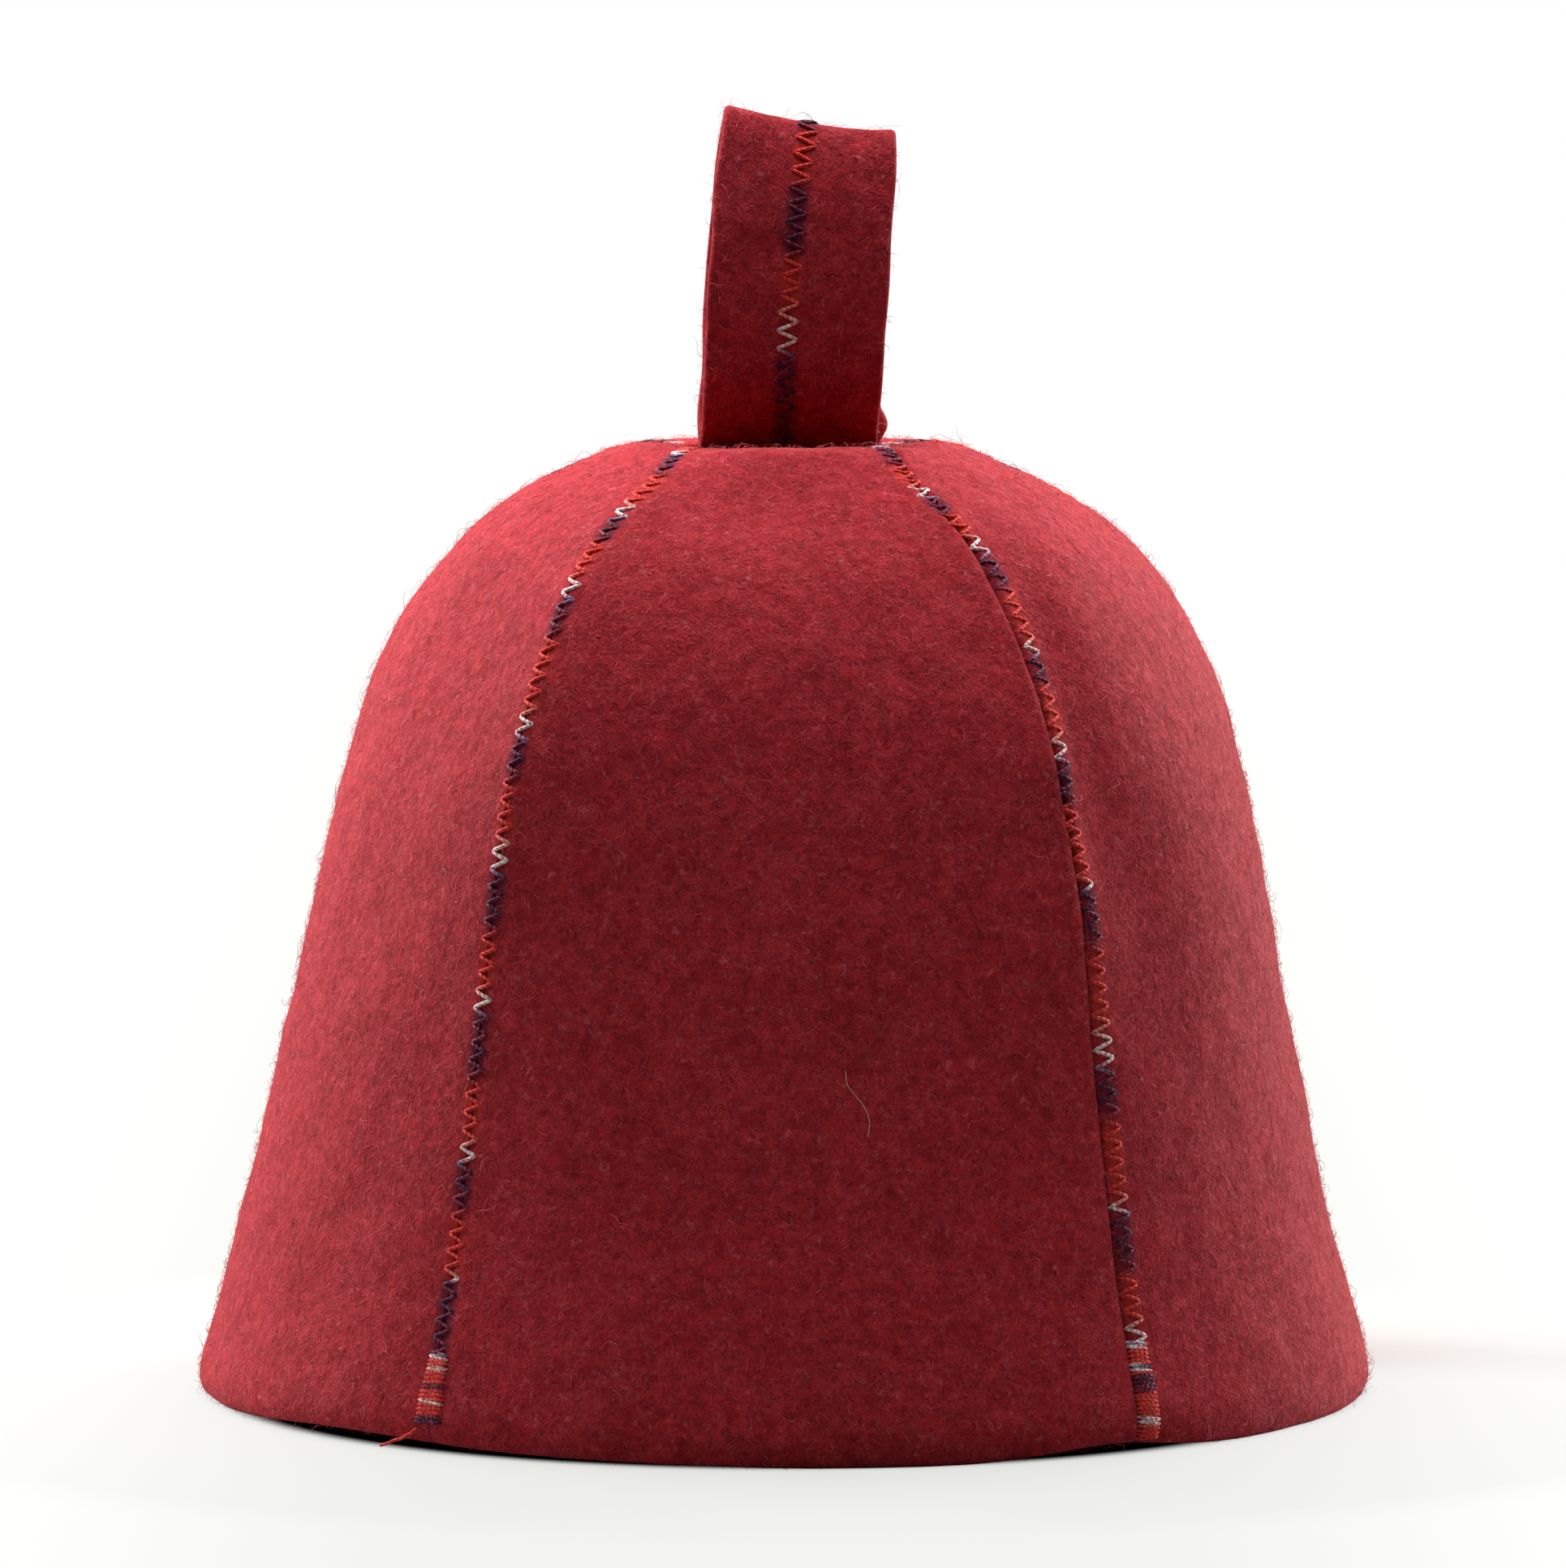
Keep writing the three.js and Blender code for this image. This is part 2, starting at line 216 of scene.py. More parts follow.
# Lowest and highest stitch of each bar tack, and its rows of shift, half width and dye.
REAR_TACK = (2.0, 15.5, ((0, 0), (21, 0)), ((0, 2.7), (16, 2.2)), ((0, 0.3), (20, 0.9)))
TACK_PLAN = {
    "left_front": (4.2, 19.0, ((0, 0), (21, 0)), ((4, 3.6), (10, 3.3), (19, 2.3)),
                   DYE_LEFT_TACK),
    "right_front": (1.0, 21.0, ((0, 2.3), (21, 1.5)), ((0, 2.7), (10, 2.9), (21, 2.7)),
                    DYE_RIGHT_TACK),
    "left_rear": REAR_TACK,
    "right_rear": REAR_TACK,
    "back": REAR_TACK,
}

# How far from a row of stitches their colour begins to show on the felt and is whole, how far
# up the bell it begins, and the distance that stands for no stitches near.
LINT_REACH = (3.1, 1.2)
LINT_START = 12
UNSEWN = 99

# Points of the thread's line in one zigzag, and sides of its section.
POINTS_PER_CYCLE = 14
THREAD_SIDES = 7
# How far the thread strays and rises, in metres, and its share of the thread's radius.
STITCH_WANDER = 0.00035
TACK_WANDER = 0.0005
TACK_RISE = 0.0003
TACK_THREAD = 0.95
TAIL_WANDER = 0.0006
TAIL_THREAD = 0.8
# Where the loose end lies in the dye cycle.
TAIL_DYE = 0.78

# Points of the stray hair, across and along the front gore. Its radius and unsteadiness are in
# metres, and its height above the felt in millimetres.
TAN_HAIR = (
    (0.1808, 0.3053), (0.1849, 0.2954), (0.2061, 0.2873), (0.2296, 0.2798), (0.2432, 0.2729),
    (0.2492, 0.2642), (0.2429, 0.2549),
)
HAIR_RADIUS = 0.0001
HAIR_WANDER = 0.00004
HAIR_RISE = 0.15
# Points of the loose thread end, in millimetres.
THREAD_TAIL = (
    (-72.6, -96.6, 5.0), (-73.9, -96.6, 3.9), (-76.6, -94.9, 2.5), (-79.8, -92.6, 1.1),
)

# Sideways bend, arch off the felt and wave of the loose wool's four shapes of strand.
STRANDS = ((0.35, 0.16, 0.05), (-0.25, 0.3, -0.12), (0.1, 0.08, 0.2), (-0.55, 0.2, 0.1))
# Joints, tilt and curl of the two kinds of loose wool.
WOOL_KINDS = {"short": (3, 0.6, 0.0011), "curly": (6, 0.1, 0.0026)}

# Azimuth from the front and elevation in degrees, and distance in metres, of each light.
LIGHTS = {
    "left": (-118, 22, 0.7),
    "right": (130, 14, 1.4),
    "top": (178, 73, 0.8),
    "front": (0, 84, 0.8),
}
LIGHT_AIM = (0.0, 0.0, 0.1)
# Side of a light, as a share of its distance.
LIGHT_SPREAD = 0.6

CAMERA_PLACE = (-0.0003, -2.3, 0.327)
CAMERA_TARGET = (-0.0003, 0.0, 0.124)
SENSOR_WIDTH = 36.0

FLOOR_RADIUS = 2.0
FLOOR_CORNERS = 64
# How far from the middle of the hat, in metres, the floor begins and ends to fade out, to take
# on the shadow's glow, and to take on the full glow.
FLOOR_FADE = (0.5, 1.3)
NEAR_GLOW = (0.1135, 0.12)
OPEN_GLOW = (0.13, 0.22)
# How far behind the middle the shadow's glow begins and ends to go out.
BACK_GLOW_END = (0.0, 0.07)


# Curves and the felt's surface

def centripetal(points, steps):
    """A smooth line through the points, with the share of its knots at each place."""
    points = np.asarray(points, float)
    ends = np.vstack([2 * points[0] - points[1], points, 2 * points[-1] - points[-2]])
    places, shares = [], []
    for knot in range(len(points) - 1):
        p0, p1, p2, p3 = ends[knot:knot + 4]
        d0, d1, d2 = (math.sqrt(np.linalg.norm(b - a)) for a, b in ((p0, p1), (p1, p2), (p2, p3)))
        start = ((p1 - p0) / d0 - (p2 - p0) / (d0 + d1) + (p2 - p1) / d1) * d1
        stop = ((p2 - p1) / d1 - (p3 - p1) / (d1 + d2) + (p3 - p2) / d2) * d1
        share = np.linspace(0, 1, steps, endpoint=False)[:, None]
        places.append(p1 + start * share + (3 * (p2 - p1) - 2 * start - stop) * share ** 2
                      + (2 * (p1 - p2) + start + stop) * share ** 3)
        shares.append((knot + share[:, 0]) / (len(points) - 1))
    return np.vstack([*places, points[-1:]]), np.append(np.concatenate(shares), 1.0)


def run_lengths(points):
    """Length from the first point to each point of a line."""
    return np.append(0, np.cumsum(np.linalg.norm(np.diff(points, axis=0), axis=1)))


class Line:
    """A smooth line that is read by the share of its length."""

    def __init__(self, points, steps=60):
        self.points, self.knots = centripetal(points, steps)
        reach = run_lengths(self.points)
        self.length = reach[-1]
        self.shares = reach / self.length
        run = np.gradient(self.points, axis=0)
        self.runs = run / np.linalg.norm(run, axis=1)[:, None]

    def read(self, along, columns):
        return [np.interp(along, self.shares, column) for column in columns.T]

    def at(self, along):
        return self.read(along, self.points)

    def run_at(self, along):
        return self.read(along, self.runs)

    def knot_at(self, along):
        return np.interp(along, self.shares, self.knots)


BELL = Line(SECTION[:, 1::-1] * (RIM_RADIUS, CROWN_HEIGHT))


def smooth_step(low, high, value):
    share = np.clip((value - low) / (high - low), 0, 1)
    return share * share * (3 - 2 * share)


def read_rows(place, rows):
    """The value at a place, between rows of places and values."""
    return np.interp(place, *np.array(rows, float).T)


def bump(distance, width):
    return np.exp(-((distance / width) ** 2))


def degrees_apart(a, b):
    return (a - b + 180) % 360 - 180


def seam_azimuth(seam, along):
    rim, middle, slit = SEAMS[seam]
    return (rim * (1 - along) * (1 - 2 * along) + 4 * middle * along * (1 - along)
            + slit * along * (2 * along - 1))


def slit_place(slit_from, slit_to, across):
    """The point on the slit's turned oblong that a gore's top edge has at across."""
    share = (across + 1) / 2
    x = (slit_from[0] + (slit_to[0] - slit_from[0]) * share) * SLIT_HALF[0]
    y = (slit_from[1] + (slit_to[1] - slit_from[1]) * share) * SLIT_HALF[1]
    turn, lean = math.cos(LOOP_YAW), math.sin(LOOP_YAW)
    return x * turn - y * lean, x * lean + y * turn


def felt_place(gore, across, along, depth=0.0):
    """Points of a gore in millimetres: across -1 to 1, along 0 at the rim to 1 at the slit."""
    from_seam, to_seam, flatness, slit_from, slit_to = GORES[gore]
    across, along = np.broadcast_arrays(np.asarray(across, float), np.asarray(along, float))
    radius, height = BELL.at(along)
    run_radius, run_height = BELL.run_at(along)
    knot = BELL.knot_at(along)
    rows = np.linspace(0, 1, len(SECTION))
    sway = np.interp(knot, rows, SECTION[:, 2]) * RIM_RADIUS
    flat = np.interp(knot, rows, SECTION[:, 3])
    even = smooth_step(SQUARE_RIM[0] * FELT, SQUARE_RIM[1] * FELT, height)
    out_share = 1 + (run_height - 1) * even
    up_share = -run_radius * even
    size = np.hypot(out_share, up_share)
    out_share, up_share = out_share / size, up_share / size

    left, right = seam_azimuth(from_seam, along), seam_azimuth(to_seam, along)
    right = np.where(right > left, right, right + 360)
    half = (right - left) / 2
    azimuth = (left + right) / 2 + across * half
    turn = np.radians(azimuth)
    out_x, out_y = np.sin(turn), -np.cos(turn)
    panel = np.cos(np.radians(half)) / np.cos(np.radians(across * half))
    end, start = SECTION[-1, 1] * RIM_RADIUS, PLAN_BLEND_START * RIM_RADIUS
    blend = np.clip((start - radius) / (start - end), 0, 1) ** PLAN_BLEND_POWER
    plan = radius * (1 - flat * flatness * (1 - panel)) - blend * end
    slit_x, slit_y = slit_place(slit_from, slit_to, across)

    inward = np.zeros_like(azimuth) + depth
    for dent_azimuth, dent_along, wide_left, wide_right, tall, deep in DENTS:
        apart = degrees_apart(azimuth, dent_azimuth)
        wide = np.where(apart < 0, wide_left, wide_right)
        inward = inward + deep * RIM_RADIUS * bump(apart, wide) * bump(along - dent_along, tall)
    lift = np.zeros_like(azimuth)
    for lift_azimuth, wide, rise in LIFTS:
        lift = lift + (rise * RIM_LIFT * bump(degrees_apart(azimuth, lift_azimuth), wide)
                       * bump(height / CROWN_HEIGHT, LIFT_FADE))
    return np.stack([
        out_x * plan + slit_x * blend + sway - inward * out_share * out_x,
        out_y * plan + slit_y * blend - inward * out_share * out_y,
        height - inward * up_share + lift,
    ], axis=-1)


def swell(points, seed, shortest, longest, height, waves=36):
    """Gentle unevenness of felt, as a sum of waves in seeded directions."""
    draw = np.random.default_rng(seed)
    total = np.zeros(points.shape[:-1])
    for _ in range(waves):
        heading = draw.normal(size=3)
        heading *= 2 * math.pi / draw.uniform(shortest, longest) / np.linalg.norm(heading)
        total += np.sin(points @ heading + draw.uniform(0, 2 * math.pi))
    return height * total / math.sqrt(waves / 2)


def unevenness(points):
    return swell(points, 11, 24, 70, 0.2) + swell(points, 12, 7, 18, 0.075)


def round_off(distance, radius):
    """How far a surface drops where its edge is rounded."""
    inside = radius - np.minimum(distance, radius)
    return radius - np.sqrt(np.maximum(radius ** 2 - inside ** 2, 0))


def steps_between_edges(length, first, growth, widest):
    """Places from 0 to length, close together at both ends."""
    places, step = [0.0], first
    while places[-1] < length / 2:
        places.append(places[-1] + step)
        step = min(step * growth, widest)
    half = np.array(places) * (length / 2 / places[-1])
    return np.concatenate([half, length - half[-2::-1]])


def place_beside(seam, along, offset):
    """A point of the felt's outside, offset millimetres to the right of a seam."""
    gore = next(name for name, row in GORES.items() if row[0 if offset > 0 else 1] == seam)
    edge = -1 if offset > 0 else 1
    probe = np.linalg.norm(felt_place(gore, edge * 0.98, along) - felt_place(gore, edge, along),
                           axis=-1)
    across = edge * (1 - np.abs(offset) * 0.02 / probe)
    flat = felt_place(gore, across, along)
    depth = unevenness(flat) + groove_depth(seam, np.abs(offset))
    return felt_place(gore, across, along, depth)


def groove_depth(seam, distance):
    deep, wide, _ = GROOVES[seam]
    return deep * bump(distance, wide)


# Meshes

def new_piece(name, mesh, material=None, replaces=None):
    piece = bpy.data.objects.new(name, mesh)
    bpy.context.scene.collection.objects.link(piece)
    if material:
        mesh.materials.clear()
        mesh.materials.append(material)
    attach(piece, "root")
    if replaces:
        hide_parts(replaces)
    return piece


def mesh_from(name, points, faces=(), edges=()):
    mesh = bpy.data.meshes.new(name)
    mesh.from_pydata((np.asarray(points).reshape(-1, 3) * MM).tolist(), list(edges), list(faces))
    mesh.update()
    if faces:
        mesh.shade_smooth()
    return mesh


def store(mesh, name, kind, domain, values):
    layer = mesh.attributes.new(name, kind, domain)
    key = "vector" if kind == "FLOAT_VECTOR" else "value"
    layer.data.foreach_set(key, np.asarray(values, float).ravel())


def wall(name, outer, inner):
    """A closed wall between two grids, rows running up, fuzzy everywhere but inside."""
    rows, columns = outer.shape[:2]
    place = np.arange(rows * columns).reshape(rows, columns)
    far = place + rows * columns
    faces = []

    def quads(a, b, c, d):
        faces.extend(np.stack([a, b, c, d], axis=-1).reshape(-1, 4).tolist())

    quads(place[:-1, :-1], place[:-1, 1:], place[1:, 1:], place[1:, :-1])
    outside = len(faces)
    quads(far[:-1, :-1], far[1:, :-1], far[1:, 1:], far[:-1, 1:])
    inside = len(faces)
    quads(place[:-1, 0], place[1:, 0], far[1:, 0], far[:-1, 0])
    quads(place[:-1, -1], far[:-1, -1], far[1:, -1], place[1:, -1])
    quads(place[0, :-1], far[0, :-1], far[0, 1:], place[0, 1:])
    quads(place[-1, :-1], place[-1, 1:], far[-1, 1:], far[-1, :-1])
    mesh = mesh_from(name, np.concatenate([outer.reshape(-1, 3), inner.reshape(-1, 3)]), faces)
    fuzzy = np.ones(len(faces))
    fuzzy[outside:inside] = 0
    store(mesh, "fuzzy", "FLOAT", "FACE", fuzzy)
    return mesh


def dye_shares(dye):
    """How dark and how orange the thread is at each place of its dye cycle."""
    place = np.mod(dye, 1)
    dark = smooth_step(0.06, 0.14, place) * smooth_step(0.46, 0.38, place)
    orange = smooth_step(0.44, 0.52, place) * smooth_step(0.92, 0.84, place)
    return dark, orange


def store_lint(mesh, distance, dye):
    """Marks the felt under a row of stitches with the colour that the thread has there."""
    near = smooth_step(*LINT_REACH, np.abs(distance))
    for name, share in zip(("dark_lint", "orange_lint"), dye_shares(dye)):
        store(mesh, name, "FLOAT", "POINT", near * share)


def gore_mesh(gore):
    seams = GORES[gore][:2]
    rim_width = np.linalg.norm(np.diff(felt_place(gore, np.linspace(-1, 1, 99), 0.03), axis=0),
                               axis=1).sum()
    across = steps_between_edges(rim_width, *STEPS_ACROSS) / rim_width * 2 - 1
    up = steps_between_edges(BELL.length, *STEPS_UP)
    along = (up / BELL.length)[:, None]
    across = np.broadcast_to(across, (len(up), len(across)))
    base = felt_place(gore, across, along)
    widths = np.linalg.norm(np.diff(base, axis=1), axis=2)
    from_left = np.concatenate([np.zeros((len(up), 1)), np.cumsum(widths, axis=1)], axis=1)
    width = from_left[:, -1:]
    across = across * (1 - 2 * SEAM_TOUCH / width)
    from_right = width - from_left
    uneven = unevenness(base)
    groove = groove_depth(seams[0], from_left) + groove_depth(seams[1], from_right)
    rounding = (round_off(from_left, GROOVES[seams[0]][2])
                + round_off(from_right, GROOVES[seams[1]][2])
                + round_off(up[:, None], RIM_ROUNDING)
                + round_off(BELL.length - up[:, None], SLIT_ROUNDING))
    rounding = np.minimum(rounding, FELT * ROUNDING_LIMIT)
    outer = felt_place(gore, across, along, uneven + groove + rounding)
    inner = felt_place(gore, across, along, FELT + uneven * INSIDE_UNEVENNESS - rounding)
    mesh = wall("felt_gore_" + gore, outer, inner)
    left_dye, right_dye = (read_rows(up, SEAM_PLAN[seam][0])[:, None] for seam in seams)
    left_shift, right_shift = (read_rows(up, SEAM_PLAN[seam][1])[:, None] for seam in seams)
    by_left = from_left - left_shift
    by_right = from_right + right_shift
    nearer = np.abs(by_left) < np.abs(by_right)
    distance = np.where(nearer, by_left, by_right)
    distance = np.where(up[:, None] > LINT_START, distance, UNSEWN)
    dye = np.where(nearer, left_dye, right_dye)
    store_lint(mesh, np.concatenate([distance, np.full_like(distance, UNSEWN)]),
               np.concatenate([dye, dye]))
    return mesh


# The hanging loop

def loop_line():
    leg_out = (FELT + LEG_GAP) / 2
    half_depth = (LOOP_DEPTH - FELT) / 2
    top = LOOP_HEIGHT - FELT / 2
    front = [(-leg_out, -FELT - LOOP_TAIL), (-leg_out, -FELT), (-leg_out, 0)]
    front += [(-max(leg_out, out * half_depth), rise * top) for rise, out in LOOP_SIDE]
    return Line(front + [(0, top)] + [(-x, y) for x, y in reversed(front)])


LOOP = loop_line()
SLIT_SWAY = SECTION[-1, 2] * RIM_RADIUS
SLIT_HEIGHT = SECTION[-1, 0] * CROWN_HEIGHT


def loop_place(sideways, along, off):
    """Points of the strip: millimetres sideways, share of its length, and out of its middle."""
    sideways, along = np.broadcast_arrays(sideways, along)
    middle_x, middle_y = LOOP.at(along)
    run_x, run_y = LOOP.run_at(along)
    depth = middle_x - off * run_y
    rise = middle_y + off * run_x
    up = np.clip(rise / LOOP_HEIGHT, 0, 1)
    sag = LOOP_SAG * (1 - (sideways / (LOOP_WIDTH / 2)) ** 2) * up ** 8
    sideways = sideways * (1 - FOLD_NARROWING * up ** 7)
    right_edge = smooth_step(8, 17, sideways) * (along > 0.5)
    x = sideways + LOOP_SIDEWAYS * up ** 1.6 + NUB[0] * right_edge * bump(rise - NUB[1], NUB[2])
    z = rise - sideways * math.tan(LOOP_TOP_TILT) * up ** 2 - sag
    turn, lean = math.cos(LOOP_YAW), math.sin(LOOP_YAW)
    return np.stack([
        x * turn - depth * lean + SLIT_SWAY, x * lean + depth * turn, z + SLIT_HEIGHT,
    ], axis=-1)


def strip_section(half_width, half_thick, rounding, steps):
    """The strip's cut end, a flat oblong with rounded edges, as (sideways, out) pairs."""
    flat = np.linspace(-half_width + rounding, half_width - rounding, steps)
    turn = np.linspace(0, math.pi / 2, 6)[1:-1]
    corner_out = half_thick - rounding + rounding * np.cos(turn)
    corner_side = half_width - rounding + rounding * np.sin(turn)
    right = [(s, o) for s, o in zip(corner_side, corner_out)]
    edge = [(half_width, out) for out in (half_thick - rounding, 0, rounding - half_thick)]
    right = right + edge + [(s, -o) for s, o in reversed(right)]
    top = [(s, half_thick) for s in flat]
    bottom = [(-s, -o) for s, o in top]
    left = [(-s, -o) for s, o in right]
    return np.array(top + right + bottom + left)


def loop_mesh():
    section = strip_section(LOOP_WIDTH / 2, FELT / 2, STRAP_ROUNDING, 31)
    along = np.linspace(0, 1, 150)[:, None]
    base = loop_place(section[:, 0], along, section[:, 1])
    waver = swell(base, 21, 9, 30, 0.16) + swell(base, 22, 4, 9, 0.05)
    edge = swell(base, 23, 14, 40, 0.22)
    near_edge = np.sign(section[:, 0]) * smooth_step(14, 18, abs(section[:, 0]))
    sideways = section[:, 0] + edge * near_edge
    points = loop_place(sideways, along, section[:, 1] + waver)
    rows, columns = points.shape[:2]
    place = np.arange(rows * columns).reshape(rows, columns)
    after = np.roll(place, -1, axis=1)
    sides = np.stack([place[:-1], after[:-1], after[1:], place[1:]], axis=-1)
    faces = [*sides.reshape(-1, 4).tolist(), place[0][::-1].tolist(), place[-1].tolist()]
    mesh = mesh_from("felt_hanging_loop", points, faces)
    fuzzy = np.ones(len(faces))
    fuzzy[-2:] = 0
    store(mesh, "fuzzy", "FLOAT", "FACE", fuzzy)
    distance = sideways - strap_middle(along)
    distance = np.where(section[:, 1] > 0, distance, UNSEWN)
    store_lint(mesh, distance, np.broadcast_to(strap_dye(along), distance.shape))
    return mesh


def strap_dye(along):
    return read_rows((0.5 - along) * LOOP.length, DYE_LOOP)


def strap_middle(along):
    return read_rows(np.abs(along - 0.5) * 2, STRAP_LINE)


# Node trees

def fill(tree, node, values):
    """Links each input to a socket, or sets it to a plain value."""
    for socket, value in values.items():
        if isinstance(value, bpy.types.NodeSocket):
            tree.links.new(value, node.inputs[socket])
        else:
            node.inputs[socket].default_value = value


def add_node(tree, kind, values=None, **settings):
    made = tree.nodes.new(kind)
    for name, value in settings.items():
        setattr(made, name, value)
    fill(tree, made, values or {})
    return made


def maths(tree, operation, *values, clamp=False):
    made = add_node(tree, "ShaderNodeMath", dict(enumerate(values)), operation=operation,
                    use_clamp=clamp)
    return made.outputs[0]


def vectors(tree, operation, *values, scale=None):
    made = add_node(tree, "ShaderNodeVectorMath", dict(enumerate(values)), operation=operation)
    if scale is not None:
        fill(tree, made, {"Scale": scale})
    return made.outputs["Value"] if operation == "LENGTH" else made.outputs[0]


def unsteady(tree, where, scale, detail):
    """A noise about zero in each direction."""
    rough = add_node(tree, "ShaderNodeTexNoise",
                     {"Vector": where, "Scale": scale, "Detail": detail}).outputs["Color"]
    return vectors(tree, "SUBTRACT", rough, (0.5, 0.5, 0.5))


def new_growth(name, sockets):
    """An empty geometry tree with named inputs, and its input and output nodes."""
    tree = bpy.data.node_groups.new(name, "GeometryNodeTree")
    tree.interface.new_socket("Geometry", in_out="INPUT", socket_type="NodeSocketGeometry")
    for socket_name, kind in sockets:
        tree.interface.new_socket(socket_name, in_out="INPUT", socket_type=kind)
    tree.interface.new_socket("Geometry", in_out="OUTPUT", socket_type="NodeSocketGeometry")
    return tree, tree.nodes.new("NodeGroupInput"), tree.nodes.new("NodeGroupOutput")


def finish_growth(tree, entry, leave, geometry):
    smooth = add_node(tree, "GeometryNodeSetShadeSmooth", {"Geometry": geometry})
    real = add_node(tree, "GeometryNodeRealizeInstances", {"Geometry": smooth.outputs[0]})
    dressed = add_node(tree, "GeometryNodeSetMaterial",
                       {"Geometry": real.outputs[0], "Material": entry.outputs["Material"]})
    tree.links.new(dressed.outputs[0], leave.inputs[0])


def named(tree, name, kind="FLOAT"):
    return add_node(tree, "GeometryNodeInputNamedAttribute", {"Name": name},
                    data_type=kind).outputs["Attribute"]


# Where a random value node keeps its least and its greatest value and its result.
RANDOM_SOCKETS = {"FLOAT_VECTOR": (0, 1, 0), "FLOAT": (2, 3, 1), "INT": (4, 5, 2)}


def random_value(tree, kind, least, greatest, seed, step):
    low, high, result = RANDOM_SOCKETS[kind]
    made = add_node(tree, "FunctionNodeRandomValue",
                    {low: least, high: greatest, "Seed": maths(tree, "ADD", seed, step)},
                    data_type=kind)
    return made.outputs[result]


def keep_value(tree, geometry, name, value, domain="POINT"):
    made = add_node(tree, "GeometryNodeStoreNamedAttribute",
                    {"Geometry": geometry, "Name": name, "Value": value},
                    data_type="FLOAT", domain=domain)
    return made.outputs[0]


def grow(name, mesh, tree, inputs, material):
    """Runs a tree on a mesh and leaves the plain mesh it makes."""
    holder = bpy.data.objects.new(name, mesh)
    bpy.context.scene.collection.objects.link(holder)
    modifier = holder.modifiers.new(name, "NODES")
    modifier.node_group = tree
    for item in tree.interface.items_tree:
        if item.in_out != "INPUT" or item.name == "Geometry":
            continue
        modifier[item.identifier] = material if item.name == "Material" else inputs[item.name]
    depsgraph = bpy.context.evaluated_depsgraph_get()
    made = bpy.data.meshes.new_from_object(holder.evaluated_get(depsgraph),
                                           preserve_all_data_layers=True, depsgraph=depsgraph)
    bpy.data.objects.remove(holder)
    if not made.polygons:
        raise RuntimeError(name + " came out empty")
    made.name = name
    return new_piece(name, made, None)


def stitch_tree(name):
    """Thread that swings from side to side along a line and dips into the felt."""
    tree, entry, leave = new_growth(name, (
        ("Cycles", "NodeSocketInt"), ("Points per Cycle", "NodeSocketInt"),
        ("Sides", "NodeSocketInt"), ("Thread Radius", "NodeSocketFloat"),
        ("Rise", "NodeSocketFloat"), ("Dip", "NodeSocketFloat"), ("Wander", "NodeSocketFloat"),
        ("Seed", "NodeSocketInt"), ("Material", "NodeSocketMaterial")))
    ask = entry.outputs
    curve = add_node(tree, "GeometryNodeMeshToCurve", {"Mesh": ask["Geometry"]}).outputs[0]
    count = maths(tree, "MULTIPLY_ADD", ask["Cycles"], ask["Points per Cycle"], 1.0)
    curve = add_node(tree, "GeometryNodeResampleCurve",
                     {"Curve": curve, "Count": count}).outputs[0]
    place = add_node(tree, "GeometryNodeSplineParameter").outputs["Factor"]
    phase = maths(tree, "FRACT", maths(tree, "MULTIPLY", place, ask["Cycles"]))
    swing = maths(tree, "ABSOLUTE", maths(tree, "SUBTRACT", phase, 0.5))
    swing = maths(tree, "MULTIPLY_ADD", swing, -4.0, 1.0)
    reach = maths(tree, "ABSOLUTE", swing)
    to_right = maths(tree, "GREATER_THAN", swing, 0.0)
    side = add_node(tree, "ShaderNodeMix", {
        "Factor": to_right, 4: named(tree, "to_left", "FLOAT_VECTOR"),
        5: named(tree, "to_right", "FLOAT_VECTOR")}, data_type="VECTOR").outputs[1]
    where = add_node(tree, "GeometryNodeInputPosition").outputs[0]
    shift = add_node(tree, "ShaderNodeCombineXYZ", dict.fromkeys(range(3), ask["Seed"])).outputs[0]
    waver = unsteady(tree, vectors(tree, "ADD", where, shift), 420.0, 1.0)
    sideways = vectors(tree, "SCALE", side, scale=reach)
    sink = maths(tree, "POWER", reach, 7.0)
    height = maths(tree, "SUBTRACT", ask["Rise"],
                   maths(tree, "MULTIPLY", sink, maths(tree, "ADD", ask["Rise"], ask["Dip"])))
    lifted = vectors(tree, "SCALE", named(tree, "outward", "FLOAT_VECTOR"), scale=height)
    offset = vectors(tree, "ADD", vectors(tree, "ADD", sideways, lifted),
                     vectors(tree, "SCALE", waver, scale=ask["Wander"]))
    curve = add_node(tree, "GeometryNodeSetPosition",
                     {"Geometry": curve, "Offset": offset}).outputs[0]
    run = add_node(tree, "GeometryNodeSplineParameter").outputs["Length"]
    curve = keep_value(tree, curve, "thread_run", run)
    ring = add_node(tree, "GeometryNodeCurvePrimitiveCircle",
                    {"Resolution": ask["Sides"], "Radius": ask["Thread Radius"]}).outputs[0]
    round_place = add_node(tree, "GeometryNodeInputPosition").outputs[0]
    parts = add_node(tree, "ShaderNodeSeparateXYZ", {0: round_place}).outputs
    for number, kept in enumerate(("ring_x", "ring_y")):
        share = maths(tree, "DIVIDE", parts[number], ask["Thread Radius"])
        ring = keep_value(tree, ring, kept, share)
    tube = add_node(tree, "GeometryNodeCurveToMesh",
                    {"Curve": curve, "Profile Curve": ring, "Fill Caps": True}).outputs[0]
    finish_growth(tree, entry, leave, tube)
    return tree


